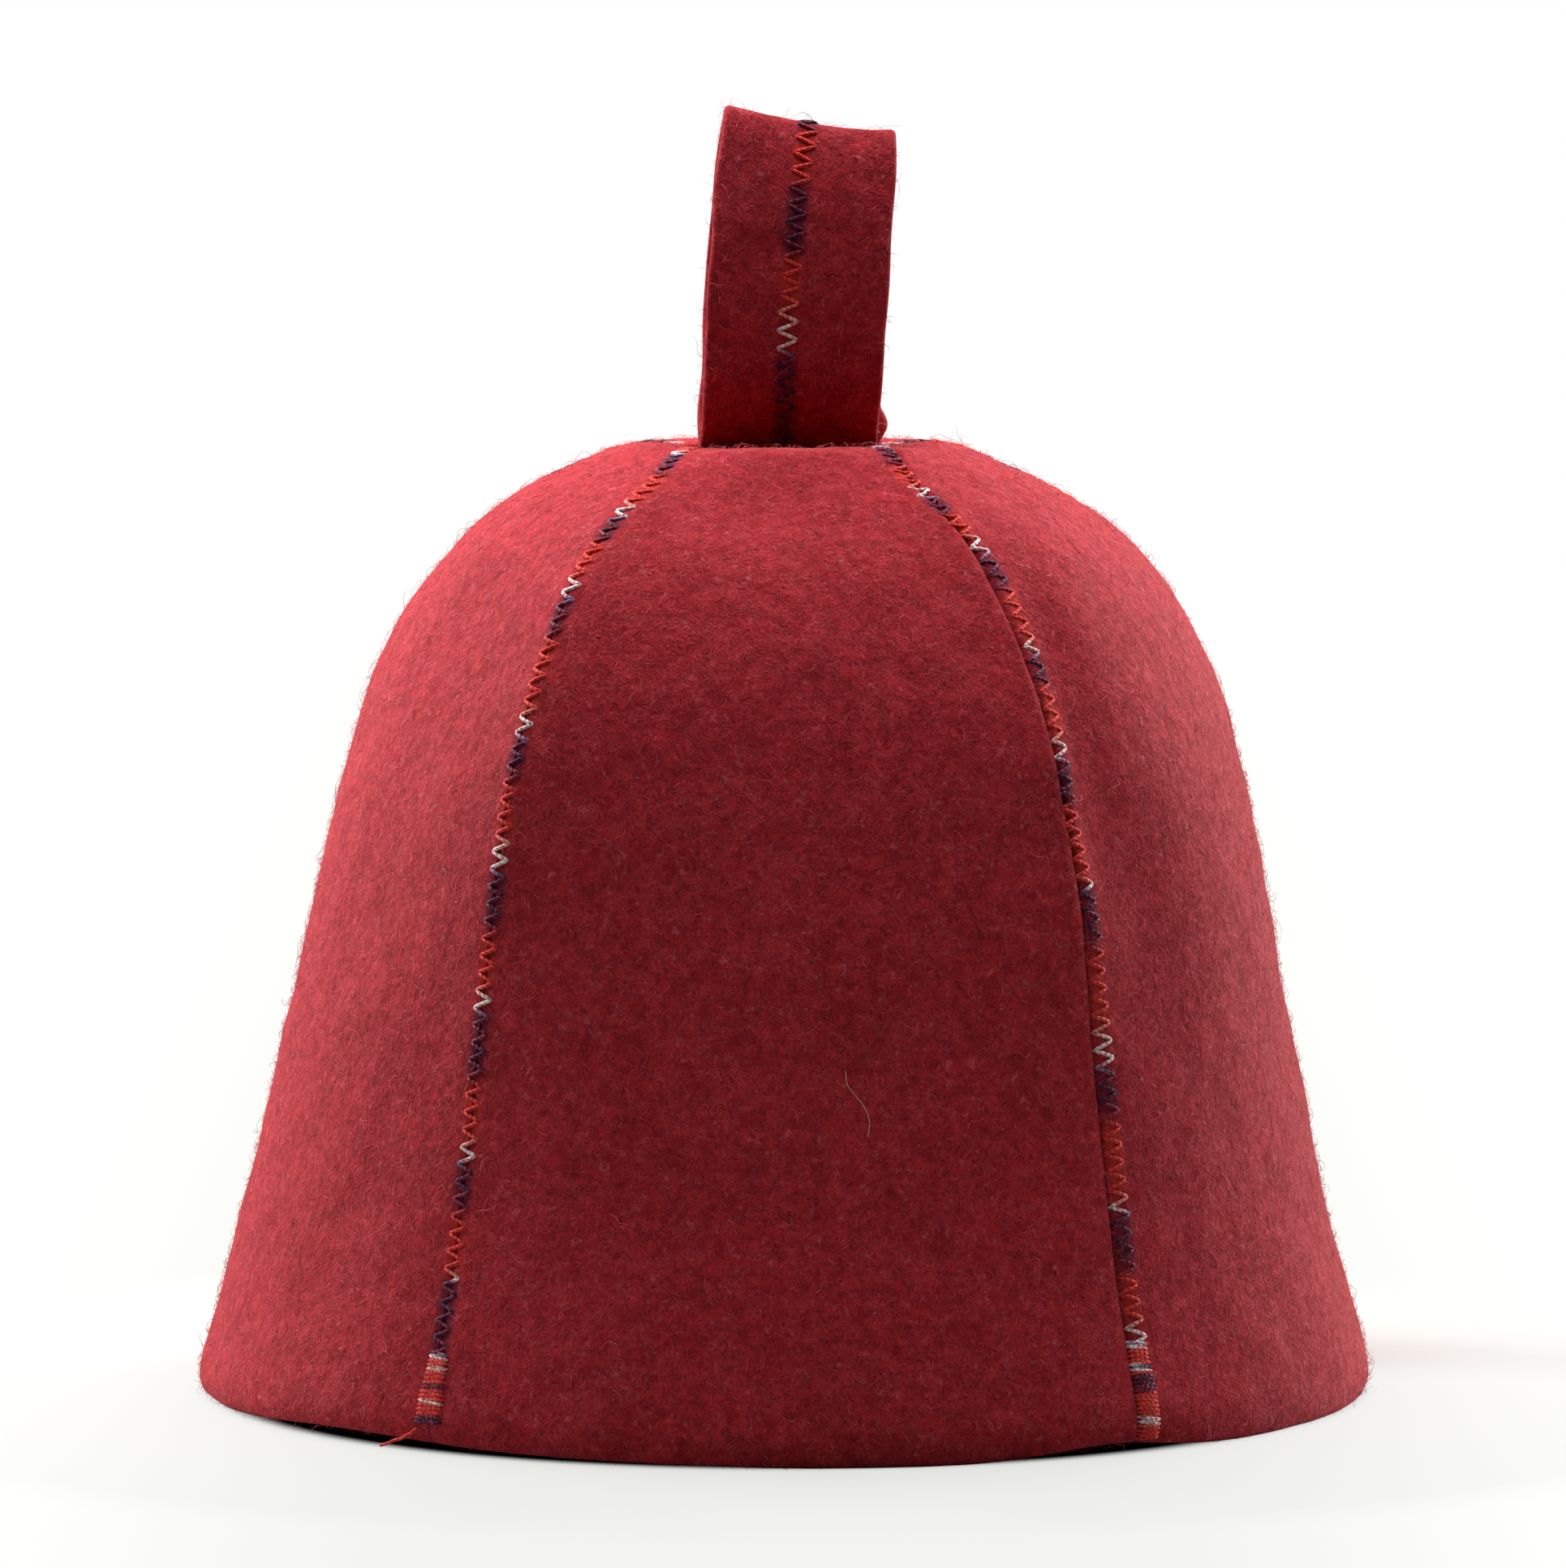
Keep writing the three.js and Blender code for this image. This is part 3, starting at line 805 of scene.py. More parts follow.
def strand_shape(tree, ask, bend, arch, wave):
    """One strand along x, of length one, as an instance that the scatter can pick."""
    line = add_node(tree, "GeometryNodeCurvePrimitiveLine", {"End": (1.0, 0.0, 0.0)}).outputs[0]
    line = add_node(tree, "GeometryNodeResampleCurve",
                    {"Curve": line, "Count": ask["Joints"]}).outputs[0]
    x = add_node(tree, "GeometryNodeSplineParameter").outputs["Factor"]
    line = keep_value(tree, line, "reach", x)
    turn = maths(tree, "MULTIPLY", x, math.pi)
    ripple = maths(tree, "SINE", maths(tree, "MULTIPLY", turn, 2.0))
    y = maths(tree, "ADD", maths(tree, "MULTIPLY", maths(tree, "POWER", x, 2.0), bend),
              maths(tree, "MULTIPLY", ripple, wave))
    z = maths(tree, "MULTIPLY", maths(tree, "SINE", turn), arch)
    offset = add_node(tree, "ShaderNodeCombineXYZ", {1: y, 2: z}).outputs[0]
    line = add_node(tree, "GeometryNodeSetPosition",
                    {"Geometry": line, "Offset": offset}).outputs[0]
    radius = maths(tree, "DIVIDE", ask["Thickness"], maths(tree, "MULTIPLY", ask["Length"], 2.0))
    ring = add_node(tree, "GeometryNodeCurvePrimitiveCircle",
                    {"Resolution": 3, "Radius": radius}).outputs[0]
    taper = maths(tree, "MULTIPLY_ADD", x, -0.7, 1.0)
    tube = add_node(tree, "GeometryNodeCurveToMesh", {
        "Curve": line, "Profile Curve": ring, "Fill Caps": True, "Scale": taper}).outputs[0]
    return add_node(tree, "GeometryNodeGeometryToInstance", {"Geometry": tube}).outputs[0]


def fuzz_tree(name):
    """Loose wool strands scattered over felt, each a thin tapering thread."""
    tree, entry, leave = new_growth(name, (
        ("Density", "NodeSocketFloat"), ("Length", "NodeSocketFloat"),
        ("Thickness", "NodeSocketFloat"), ("Joints", "NodeSocketInt"),
        ("Tilt", "NodeSocketFloat"), ("Curl", "NodeSocketFloat"), ("Seed", "NodeSocketInt"),
        ("Material", "NodeSocketMaterial")))
    ask = entry.outputs
    density = maths(tree, "MULTIPLY", named(tree, "fuzzy"), ask["Density"])
    roots = add_node(tree, "GeometryNodeDistributePointsOnFaces",
                     {"Mesh": ask["Geometry"], "Density": density, "Seed": ask["Seed"]},
                     distribute_method="RANDOM")
    shapes = add_node(tree, "GeometryNodeJoinGeometry")
    for strand in reversed(STRANDS):
        tree.links.new(strand_shape(tree, ask, *strand), shapes.inputs[0])
    seed = ask["Seed"]
    spin = random_value(tree, "FLOAT_VECTOR", (0.0, 0.0, 0.0), (0.0, 0.0, 2 * math.pi), seed, 0.0)
    tilt_top = add_node(tree, "ShaderNodeCombineXYZ",
                        {1: maths(tree, "MULTIPLY", ask["Tilt"], -1.0)}).outputs[0]
    tilt = random_value(tree, "FLOAT_VECTOR", tilt_top, (0.0, 0.12, 0.0), seed, 3.0)
    turned = roots.outputs["Rotation"]
    for turn in (spin, tilt):
        turned = add_node(tree, "FunctionNodeRotateRotation",
                          {"Rotation": turned, "Rotate By": turn},
                          rotation_space="LOCAL").outputs[0]
    size = random_value(tree, "FLOAT", 0.55, 1.5, seed, 5.0)
    pick = random_value(tree, "INT", 0, len(STRANDS) - 1, seed, 7.0)
    strands = add_node(tree, "GeometryNodeInstanceOnPoints", {
        "Points": roots.outputs["Points"], "Instance": shapes.outputs[0], "Pick Instance": True,
        "Instance Index": pick, "Rotation": turned,
        "Scale": maths(tree, "MULTIPLY", size, ask["Length"])}).outputs[0]
    tint = random_value(tree, "FLOAT", 0.0, 1.0, seed, 9.0)
    strands = keep_value(tree, strands, "tint", tint, domain="INSTANCE")
    strands = add_node(tree, "GeometryNodeRealizeInstances", {"Geometry": strands}).outputs[0]
    where = add_node(tree, "GeometryNodeInputPosition").outputs[0]
    waver = unsteady(tree, where, 520.0, 1.0)
    curl = maths(tree, "MULTIPLY", named(tree, "reach"), ask["Curl"])
    strands = add_node(tree, "GeometryNodeSetPosition", {
        "Geometry": strands, "Offset": vectors(tree, "SCALE", waver, scale=curl)}).outputs[0]
    parts = add_node(tree, "ShaderNodeSeparateXYZ", {0: where}).outputs
    off_floor = maths(tree, "MAXIMUM", parts[2], 0.0002)
    above = add_node(tree, "ShaderNodeCombineXYZ",
                     {0: parts[0], 1: parts[1], 2: off_floor}).outputs[0]
    strands = add_node(tree, "GeometryNodeSetPosition",
                       {"Geometry": strands, "Position": above}).outputs[0]
    finish_growth(tree, entry, leave, strands)
    return tree


def tree_named(name, maker):
    return bpy.data.node_groups.get(name) or maker(name)


# Materials

def new_material(name):
    material = bpy.data.materials.new(name)
    material.use_nodes = True
    tree = material.node_tree
    return material, tree, tree.nodes["Principled BSDF"]


def mixed(tree, share, first, second, blend="MIX"):
    made = add_node(tree, "ShaderNodeMix", {"Factor": share, 6: first, 7: second},
                    data_type="RGBA", blend_type=blend, clamp_factor=True)
    return made.outputs[2]


def opaque(colour):
    return (*colour, 1.0)


def shaded(tree, colour, shade):
    """A colour made lighter or darker by a number."""
    grey = add_node(tree, "ShaderNodeCombineColor", dict.fromkeys(range(3), shade)).outputs[0]
    return mixed(tree, 1.0, colour, grey, "MULTIPLY")


def weighted(tree, *parts):
    """The sum of values, each times its weight."""
    total = 0.0
    for value, weight in parts:
        total = maths(tree, "MULTIPLY_ADD", value, weight, total)
    return total


def object_place(tree):
    return add_node(tree, "ShaderNodeTexCoord").outputs["Object"]


def attribute(tree, name):
    return add_node(tree, "ShaderNodeAttribute", attribute_name=name).outputs["Fac"]


def bumped(tree, height, strength, distance):
    return add_node(tree, "ShaderNodeBump", {
        "Height": height, "Strength": strength, "Distance": distance}).outputs[0]


def noise(tree, vector, scale, detail=2.0, roughness=0.5, distortion=0.0):
    return add_node(tree, "ShaderNodeTexNoise", {
        "Vector": vector, "Scale": scale, "Detail": detail, "Roughness": roughness,
        "Distortion": distortion}).outputs["Fac"]


def remapped(tree, value, low, high, new_low, new_high):
    made = add_node(tree, "ShaderNodeMapRange", {
        "Value": value, "From Min": low, "From Max": high, "To Min": new_low,
        "To Max": new_high}, interpolation_type="SMOOTHSTEP")
    return made.outputs[0]


def curly_lines(tree, vector, scale, width, shift):
    """Thin winding lines, where a noise passes through its middle value."""
    moved = vectors(tree, "ADD", vector, shift)
    crossing = maths(tree, "SUBTRACT", noise(tree, moved, scale, 1.5), 0.5)
    crossing = maths(tree, "ABSOLUTE", crossing)
    return remapped(tree, crossing, 0.0, width, 1.0, 0.0)


def wisps(tree, vector, scale, shift, low, high):
    """Feathery ridges of wool, from a ridged noise on a stirred place."""
    moved = vectors(tree, "ADD", vector, shift)
    ridges = add_node(tree, "ShaderNodeTexNoise", {
        "Vector": moved, "Scale": scale, "Detail": 3.0, "Roughness": 0.55, "Offset": 1.0,
        "Gain": 1.6}, noise_type="RIDGED_MULTIFRACTAL").outputs["Fac"]
    return remapped(tree, ridges, low, high, 0.0, 1.0)


def felt_material(name, felt, colour, seed):
    """Milled wool: cloudy crimson with feathery paler wisps, and painted shade in the hollows of
    its bumps.
    """
    material, tree, shader = new_material(name)
    where = object_place(tree)
    stir = vectors(tree, "SCALE", unsteady(tree, where, 330.0, 2.5), scale=0.0034)
    curled = vectors(tree, "ADD", where, stir)
    clouds = noise(tree, where, 70.0, 3.0, 0.55)
    patches = noise(tree, curled, 430.0, 3.0, 0.6)
    grain = noise(tree, curled, 1900.0, 2.0, 0.6)
    broad = wisps(tree, curled, 360.0, (seed, 0.3, 0.7), 1.1, 1.9)
    fine = wisps(tree, curled, 850.0, (0.2, seed, 0.5), 1.0, 1.75)
    hairs = curly_lines(tree, curled, 560.0, 0.022, (0.9, 0.4, seed))
    scattered = remapped(tree, noise(tree, where, 210.0, 2.0), 0.38, 0.62, 0.15, 1.0)
    tufts = maths(tree, "MULTIPLY", curly_lines(tree, curled, 430.0, 0.06, (seed, 0.8, 0.1)),
                  remapped(tree, noise(tree, where, 480.0, 1.0), 0.56, 0.72, 0.0, 0.42))

    shade = remapped(tree, clouds, 0.3, 0.7, 0.94, 1.06)
    shade = maths(tree, "MULTIPLY", shade, remapped(tree, patches, 0.3, 0.7, 0.76, 1.22))
    shade = maths(tree, "MULTIPLY", shade, remapped(tree, grain, 0.3, 0.7, 0.76, 1.2))
    body = shaded(tree, opaque(colour), shade)
    # Painted shade: the darkest colour goes where the grain, and with it the bump, is lowest, as
    # shade in the felt's hollows.
    hollow_shade = remapped(tree, grain, 0.3, 0.44, 0.42, 0.0)
    pale = maths(tree, "MULTIPLY", weighted(tree, (broad, 0.09), (fine, 0.22), (hairs, 0.24)),
                 scattered, clamp=True)
    for cover, fibres in ((hollow_shade, felt.dark_strand_and_hollow_shade_colour), (pale, felt.pale_fibre_colour),
                          (tufts, felt.tuft_colour)):
        body = mixed(tree, cover, body, opaque(fibres))
    for lint, fibres, most in (("dark_lint", felt.dark_lint_colour, 0.8),
                               ("orange_lint", felt.orange_lint_colour, 0.6)):
        patchy = remapped(tree, patches, 0.35, 0.65, most - 0.3, most)
        cover = maths(tree, "MULTIPLY", attribute(tree, lint), patchy)
        body = mixed(tree, cover, body, opaque(fibres))

    height = weighted(tree, (patches, 0.8), (grain, 0.26), (broad, 0.12), (fine, 0.12),
                      (hairs, 0.08), (tufts, 0.2))
    fill(tree, shader, {
        "Base Color": body,
        "Normal": bumped(tree, height, felt.relief, 0.0008),
        "Roughness": remapped(tree, patches, 0.3, 0.7, 0.98, 0.88),
        "Diffuse Roughness": 0.6,
        "Specular IOR Level": 0.08,
        "Sheen Weight": felt.sheen,
        "Sheen Roughness": 0.5,
        "Sheen Tint": (1.0, 0.4, 0.42, 1.0),
    })
    return material


def fuzz_material(name, felt):
    """Single wool strands, from dark crimson to pale pink."""
    material, tree, shader = new_material(name)
    ramp = add_node(tree, "ShaderNodeValToRGB", {0: attribute(tree, "tint")})
    fill_ramp(ramp, (
        (0.0, felt.dark_strand_and_hollow_shade_colour), (0.25, felt.felt_colour), (0.82, felt.felt_colour),
        (0.95, felt.strand_colour), (1.0, felt.pale_fibre_colour)))
    shade = remapped(tree, noise(tree, object_place(tree), 900.0, 2.0), 0.3, 0.7, 0.8, 1.2)
    fill(tree, shader, {"Base Color": shaded(tree, ramp.outputs[0], shade), "Roughness": 0.8,
                        "Specular IOR Level": 0.2, "Sheen Weight": 0.3})
    return material


def fill_ramp(ramp, stops):
    points = ramp.color_ramp.elements
    while len(points) > 1:
        points.remove(points[-1])
    for number, (place, colour) in enumerate(stops):
        point = points[0] if number == 0 else points.new(place)
        point.position = place
        point.color = opaque(colour)


def thread_material(name, stitches, felt):
    """Space-dyed sewing thread with the lay of its twist, in its bump and as painted shade."""
    material, tree, shader = new_material(name)
    where = object_place(tree)
    stray = maths(tree, "SUBTRACT", noise(tree, where, 900.0, 1.0), 0.5)
    stray = maths(tree, "MULTIPLY", stray, 0.05)
    dye = maths(tree, "ADD", attribute(tree, "dye"), maths(tree, "ADD", stray, 10.0))
    place = maths(tree, "FRACT", dye)
    ramp = add_node(tree, "ShaderNodeValToRGB", {0: place})
    fill_ramp(ramp, (
        (0.0, stitches.white), (0.045, stitches.white), (0.075, stitches.pale_blue),
        (0.14, stitches.navy), (0.33, stitches.navy), (0.42, stitches.purple),
        (0.5, stitches.orange), (0.86, stitches.orange), (0.93, stitches.pale_orange),
        (0.965, stitches.white)))
    turn = maths(tree, "MULTIPLY", attribute(tree, "thread_run"), 2 * math.pi / stitches.twist)
    ply = weighted(tree, (attribute(tree, "ring_x"), maths(tree, "COSINE", turn)),
                   (attribute(tree, "ring_y"), maths(tree, "SINE", turn)))
    # Painted shade: the side of each ply turn that the bump sets lower is painted darker, along
    # the thread's twist.
    shade = remapped(tree, ply, -0.9, 0.7, 0.72, 1.08)
    hairs = remapped(tree, noise(tree, where, 4200.0, 2.0), 0.3, 0.7, 0.86, 1.12)
    shade = maths(tree, "MULTIPLY", shade, hairs)
    wool_over = remapped(tree, noise(tree, where, 1300.0, 3.0, 0.65), 0.47, 0.62, 0.0, 0.75)
    body = mixed(tree, wool_over, shaded(tree, ramp.outputs[0], shade), opaque(felt.felt_colour))
    fill(tree, shader, {"Base Color": body, "Normal": bumped(tree, ply, 0.5, 0.00012),
                        "Roughness": 0.7, "Specular IOR Level": 0.15})
    return material


def hair_material(name, colour):
    material, tree, shader = new_material(name)
    shade = remapped(tree, noise(tree, object_place(tree), 1400.0, 2.0), 0.3, 0.7, 0.8, 1.15)
    fill(tree, shader, {"Base Color": shaded(tree, opaque(colour), shade), "Roughness": 0.5})
    return material


def material_named(name, maker, *given):
    return bpy.data.materials.get(name) or maker(name, *given)


# Stitching

def line_mesh(name, centre, left, right, outward, dye):
    """A row of stitches as a line that knows its sides and its dye."""
    edges = [(number, number + 1) for number in range(len(centre) - 1)]
    mesh = mesh_from(name, centre, edges=edges)
    store(mesh, "to_left", "FLOAT_VECTOR", "POINT", (left - centre) * MM)
    store(mesh, "to_right", "FLOAT_VECTOR", "POINT", (right - centre) * MM)
    store(mesh, "outward", "FLOAT_VECTOR", "POINT", outward)
    store(mesh, "dye", "FLOAT", "POINT", dye)
    return mesh


def swinging_line(name, left, centre, right, dye):
    outward = np.cross(right - left, np.gradient(centre, axis=0))
    outward = outward / np.linalg.norm(outward, axis=-1)[..., None]
    return line_mesh(name, centre, left, right, outward, dye)


def plain_line(name, points, steps, dye):
    """A line for thread or hair that lies without swinging."""
    centre = np.stack(Line(points).at(np.linspace(0, 1, steps)), axis=-1)
    return line_mesh(name, centre, centre, centre, np.zeros_like(centre), np.full(steps, dye))


def stitched(name, stitches, line, cycles, seed, thread_share=1.0, wander=STITCH_WANDER,
             rise=None):
    material = material_named("dyed_thread", thread_material, stitches,
                              bpy.context.scene.sauna_hat_felt)
    inputs = {
        "Cycles": cycles, "Points per Cycle": POINTS_PER_CYCLE, "Sides": THREAD_SIDES,
        "Thread Radius": stitches.thread_radius * thread_share,
        "Rise": stitches.rise if rise is None else rise, "Dip": stitches.dip, "Wander": wander,
        "Seed": seed,
    }
    return grow(name, line, tree_named("zigzag_stitch", stitch_tree), inputs, material)


def seam_line(name, seam, low, high, shift_rows, half_width_rows, dye_rows):
    """The stitching line of a seam between two heights along it, in millimetres."""
    up = np.linspace(low, high, max(int((high - low) / 0.8), 12))
    half = read_rows(up, half_width_rows)
    shift = read_rows(up, shift_rows)
    # the middle lies a hair's breadth to the right, so that it is on one gore all along
    left, centre, right = (
        np.array([place_beside(seam, *spot) for spot in zip(up / BELL.length, shift + part)])
        for part in (-half, np.full_like(half, 1e-6), half))
    return swinging_line(name, left, centre, right, read_rows(up, dye_rows))


# Lights, floor and room

def area_light(name, azimuth, elevation, distance, power):
    """A soft square light at an azimuth from the front and an elevation, in degrees."""
    data = bpy.data.lights.new(name, "AREA")
    data.shape = "SQUARE"
    data.size = distance * LIGHT_SPREAD
    data.energy = power
    lamp = bpy.data.objects.new(name, data)
    turn, rise = math.radians(azimuth), math.radians(elevation)
    heading = Vector((math.sin(turn) * math.cos(rise), -math.cos(turn) * math.cos(rise),
                      math.sin(rise)))
    lamp.location = Vector(LIGHT_AIM) + heading * distance
    lamp.rotation_euler = (-heading).to_track_quat("-Z", "Y").to_euler()
    bpy.context.scene.collection.objects.link(lamp)


def floor_material(stage):
    """Pale matt floor with painted light: the camera sees it glow white around the hat, and it
    fades out.
    """
    material, tree, shader = new_material("pale_floor")
    where = object_place(tree)
    from_hat = vectors(tree, "LENGTH", where)
    shade = remapped(tree, noise(tree, where, 9.0, 3.0), 0.3, 0.7, 0.985, 1.0)
    fill(tree, shader, {
        "Base Color": shaded(tree, opaque(stage.floor_colour), shade),
        "Roughness": 0.9,
        "Specular IOR Level": 0.1,
        "Alpha": remapped(tree, from_hat, *FLOOR_FADE, 1.0, 0.0),
    })
    sideways, backward, _ = add_node(tree, "ShaderNodeSeparateXYZ", {0: where}).outputs
    # Painted light: the glow is dimmer straight in front of and behind the hat than to its sides,
    # and in front it lifts the hat's shadow on the floor.
    bright = remapped(tree, maths(tree, "ABSOLUTE", sideways), 0.05, 0.2, 0.895, 1.05)
    glow = add_node(tree, "ShaderNodeEmission",
                    {"Color": (1.0, 1.0, 0.975, 1.0), "Strength": bright})
    near_share = maths(tree, "MULTIPLY",
                       remapped(tree, from_hat, *NEAR_GLOW, 0.0, stage.floor_glow),
                       remapped(tree, backward, *BACK_GLOW_END, 1.0, 0.0))
    open_floor = remapped(tree, from_hat, *OPEN_GLOW, 0.0, 1.0)
    open_floor = maths(tree, "MAXIMUM", near_share, open_floor)
    seen = add_node(tree, "ShaderNodeLightPath").outputs["Is Camera Ray"]
    share = maths(tree, "MULTIPLY", open_floor, seen)
    both = add_node(tree, "ShaderNodeMixShader",
                    {0: share, 1: shader.outputs[0], 2: glow.outputs[0]})
    tree.links.new(both.outputs[0], tree.nodes["Material Output"].inputs["Surface"])
    return material


def studio_world(stage):
    """A faint glow, most of it from behind the hat, and white to look at."""
    world = bpy.data.worlds.new("studio")
    bpy.context.scene.world = world
    world.use_nodes = True
    tree = world.node_tree
    tree.nodes.clear()
    heading = add_node(tree, "ShaderNodeTexCoord").outputs["Generated"]
    parts = add_node(tree, "ShaderNodeSeparateXYZ", {0: heading}).outputs
    behind = remapped(tree, parts[1], -0.15, 0.55, 0.0, 1.0)
    glow = maths(tree, "MULTIPLY_ADD", behind, stage.back_glow, stage.front_glow)
    light = add_node(tree, "ShaderNodeBackground", {"Strength": glow})
    white = add_node(tree, "ShaderNodeBackground", {"Color": (1.0, 1.0, 1.0, 1.0)})
    seen = add_node(tree, "ShaderNodeLightPath").outputs["Is Camera Ray"]
    both = add_node(tree, "ShaderNodeMixShader",
                    {0: seen, 1: light.outputs[0], 2: white.outputs[0]})
    add_node(tree, "ShaderNodeOutputWorld", {"Surface": both.outputs[0]})


# Settings

def colour_setting(name, description, default):
    return FloatVectorProperty(name=name, description=description, default=default,
                               subtype="COLOR", size=3, min=0.0, max=1.0)


def length_setting(name, description, default):
    return FloatProperty(name=name, description=description, default=default, unit="LENGTH",
                         subtype="DISTANCE", min=0.0, precision=5)


def share_setting(name, description, default):
    return FloatProperty(name=name, description=description, default=default, min=0.0, max=1.0,
                         subtype="FACTOR")


def amount_setting(name, description, default, unit="NONE"):
    return FloatProperty(name=name, description=description, default=default, min=0.0, unit=unit)


class SaunaHatFelt(bpy.types.PropertyGroup):
    felt_colour: colour_setting("Felt", "Crimson of the milled wool", (0.445, 0.023, 0.033))
    loop_colour: colour_setting("Loop felt", "The strap's felt", (0.375, 0.0175, 0.0255))
    # Painted shade in the felt's hollows, and also the darkest tone of the loose strands.
    dark_strand_and_hollow_shade_colour: colour_setting("Dark fibres", "Wool in the felt's hollows",
                                      (0.15, 0.006, 0.01))
    strand_colour: colour_setting("Strands", "Most of the loose wool", (0.52, 0.05, 0.075))
    pale_fibre_colour: colour_setting("Pale fibres", "The undyed wool in the felt",
                                      (0.74, 0.105, 0.135))
    tuft_colour: colour_setting("Tufts", "Short pale tufts that lie on the felt",
                                (0.76, 0.17, 0.2))
    dark_lint_colour: colour_setting("Dark lint", "Felt between the dark stitches",
                                     (0.1, 0.014, 0.045))
    orange_lint_colour: colour_setting("Orange lint", "Felt between the orange stitches",
                                       (0.66, 0.05, 0.03))
    tan_hair_colour: colour_setting("Stray hair", "The one pale hair on the front",
                                    (0.7, 0.36, 0.17))
    sheen: share_setting("Sheen", "How much the fuzz catches light", 0.05)
    relief: share_setting("Relief", "Strength of the felt's bumps", 0.7)


class SaunaHatStitches(bpy.types.PropertyGroup):
    zigzag_width: length_setting("Zigzag width", "Between the needle's two sides", 0.0043)
    zigzag_pitch: length_setting("Zigzag pitch", "One swing there and back", 0.0036)
    thread_radius: length_setting("Thread radius", "Half the thread's thickness", 0.00038)
    rise: length_setting("Rise", "Thread's middle above the felt", 0.0001)
    dip: length_setting("Dip", "How deep it goes at the needle holes", 0.00045)
    tack_pitch: length_setting("Tack pitch", "Pitch in the dense bar tacks", 0.00092)
    twist: length_setting("Twist", "One turn of the thread's plies", 0.0011)
    white: colour_setting("White", "Undyed stretch of the thread", (0.82, 0.72, 0.71))
    pale_blue: colour_setting("Pale blue", "Where white turns to navy", (0.3, 0.25, 0.42))
    navy: colour_setting("Navy", "Dark stretch of the thread", (0.045, 0.012, 0.045))
    purple: colour_setting("Purple", "Where navy turns to orange", (0.13, 0.012, 0.035))
    orange: colour_setting("Orange", "Orange-red stretch of the thread", (0.72, 0.047, 0.033))
    pale_orange: colour_setting("Pale orange", "Where orange turns to white", (0.8, 0.3, 0.22))


class SaunaHatFuzz(bpy.types.PropertyGroup):
    density: amount_setting("Short strands", "Strands on a square metre", 230000.0)
    long_density: amount_setting("Long strands", "Curly strands on a square metre", 30000.0)
    strand_length: length_setting("Short length", "Length of a short strand", 0.0014)
    long_length: length_setting("Long length", "Length of a curly strand", 0.0036)
    thickness: length_setting("Thickness", "A strand's thickness", 0.00009)
    seed: IntProperty(name="Seed", description="Start of the scatter", default=5, min=0)


class SaunaHatStage(bpy.types.PropertyGroup):
    floor_colour: colour_setting("Floor", "The pale floor", (0.36, 0.36, 0.35))
    floor_glow: share_setting("Floor glow", "How far the floor's shadows are lit", 0.8)
    left_power: amount_setting("Left light", "Power of the left light", 10.4, "POWER")
    right_power: amount_setting("Right light", "Power of the right light", 40.0, "POWER")
    top_power: amount_setting("Top light", "Power of the light above", 9.0, "POWER")
    front_power: amount_setting("Front light", "Power of the light above the front", 4.2, "POWER")
    back_glow: amount_setting("Back glow", "Brightness of the wall behind", 0.04)
    front_glow: amount_setting("Front glow", "Brightness of the room in front", 0.006)
    lens: FloatProperty(name="Lens", description="Focal length of the camera", default=259.0,
                        min=1.0, unit="CAMERA")


# Operators

class SAUNAHAT_OT_gores(bpy.types.Operator):
    """Makes the five felt gores of the bell"""
    bl_idname = "saunahat.gores"
    bl_label = "Felt gores"

    def execute(self, context):
        felt = context.scene.sauna_hat_felt
        material = material_named("crimson_felt", felt_material, felt, felt.felt_colour, 0.1)
        for gore in GORES:
            new_piece("felt_gore_" + gore, gore_mesh(gore), material,
                      "crown_panel_" + gore)
        return {"FINISHED"}


class SAUNAHAT_OT_loop(bpy.types.Operator):
    """Makes the folded felt strap at the crown"""
    bl_idname = "saunahat.loop"
    bl_label = "Hanging loop"

    def execute(self, context):
        felt = context.scene.sauna_hat_felt
        material = material_named("strap_felt", felt_material, felt, felt.loop_colour, 0.6)
        new_piece("felt_hanging_loop", loop_mesh(), material, "hanging_loop")
        return {"FINISHED"}


class SAUNAHAT_OT_seams(bpy.types.Operator):
    """Sews the zigzag along the five seams"""
    bl_idname = "saunahat.seams"
    bl_label = "Seam stitches"

    def execute(self, context):
        stitches = context.scene.sauna_hat_stitches
        half = stitches.zigzag_width / MM / 2
        high = BELL.length - TOP_STITCH
        for number, (seam, (dye, shift, low)) in enumerate(SEAM_PLAN.items()):
            width = ((low, half), (high, half))
            line = seam_line("line_" + seam, seam, low, high, shift, width, dye)
            cycles = round((high - low) * MM / stitches.zigzag_pitch)
            stitched("zigzag_" + seam, stitches, line, cycles, number)
        return {"FINISHED"}


class SAUNAHAT_OT_tacks(bpy.types.Operator):
    """Sews the dense bar tacks where each seam meets the rim"""
    bl_idname = "saunahat.tacks"
    bl_label = "Bar tacks"

    def execute(self, context):
        stitches = context.scene.sauna_hat_stitches
        for number, (seam, (low, high, shift, half, dye)) in enumerate(TACK_PLAN.items()):
            line = seam_line("tack_line_" + seam, seam, low, high, shift, half, dye)
            cycles = round((high - low) * MM / stitches.tack_pitch)
            stitched("bar_tack_" + seam, stitches, line, cycles, 20 + number, TACK_THREAD,
                     TACK_WANDER, TACK_RISE)
        line = plain_line("tail_line", THREAD_TAIL, 14, TAIL_DYE)
        stitched("thread_tail", stitches, line, 3, 31, TAIL_THREAD, TAIL_WANDER)
        return {"FINISHED"}


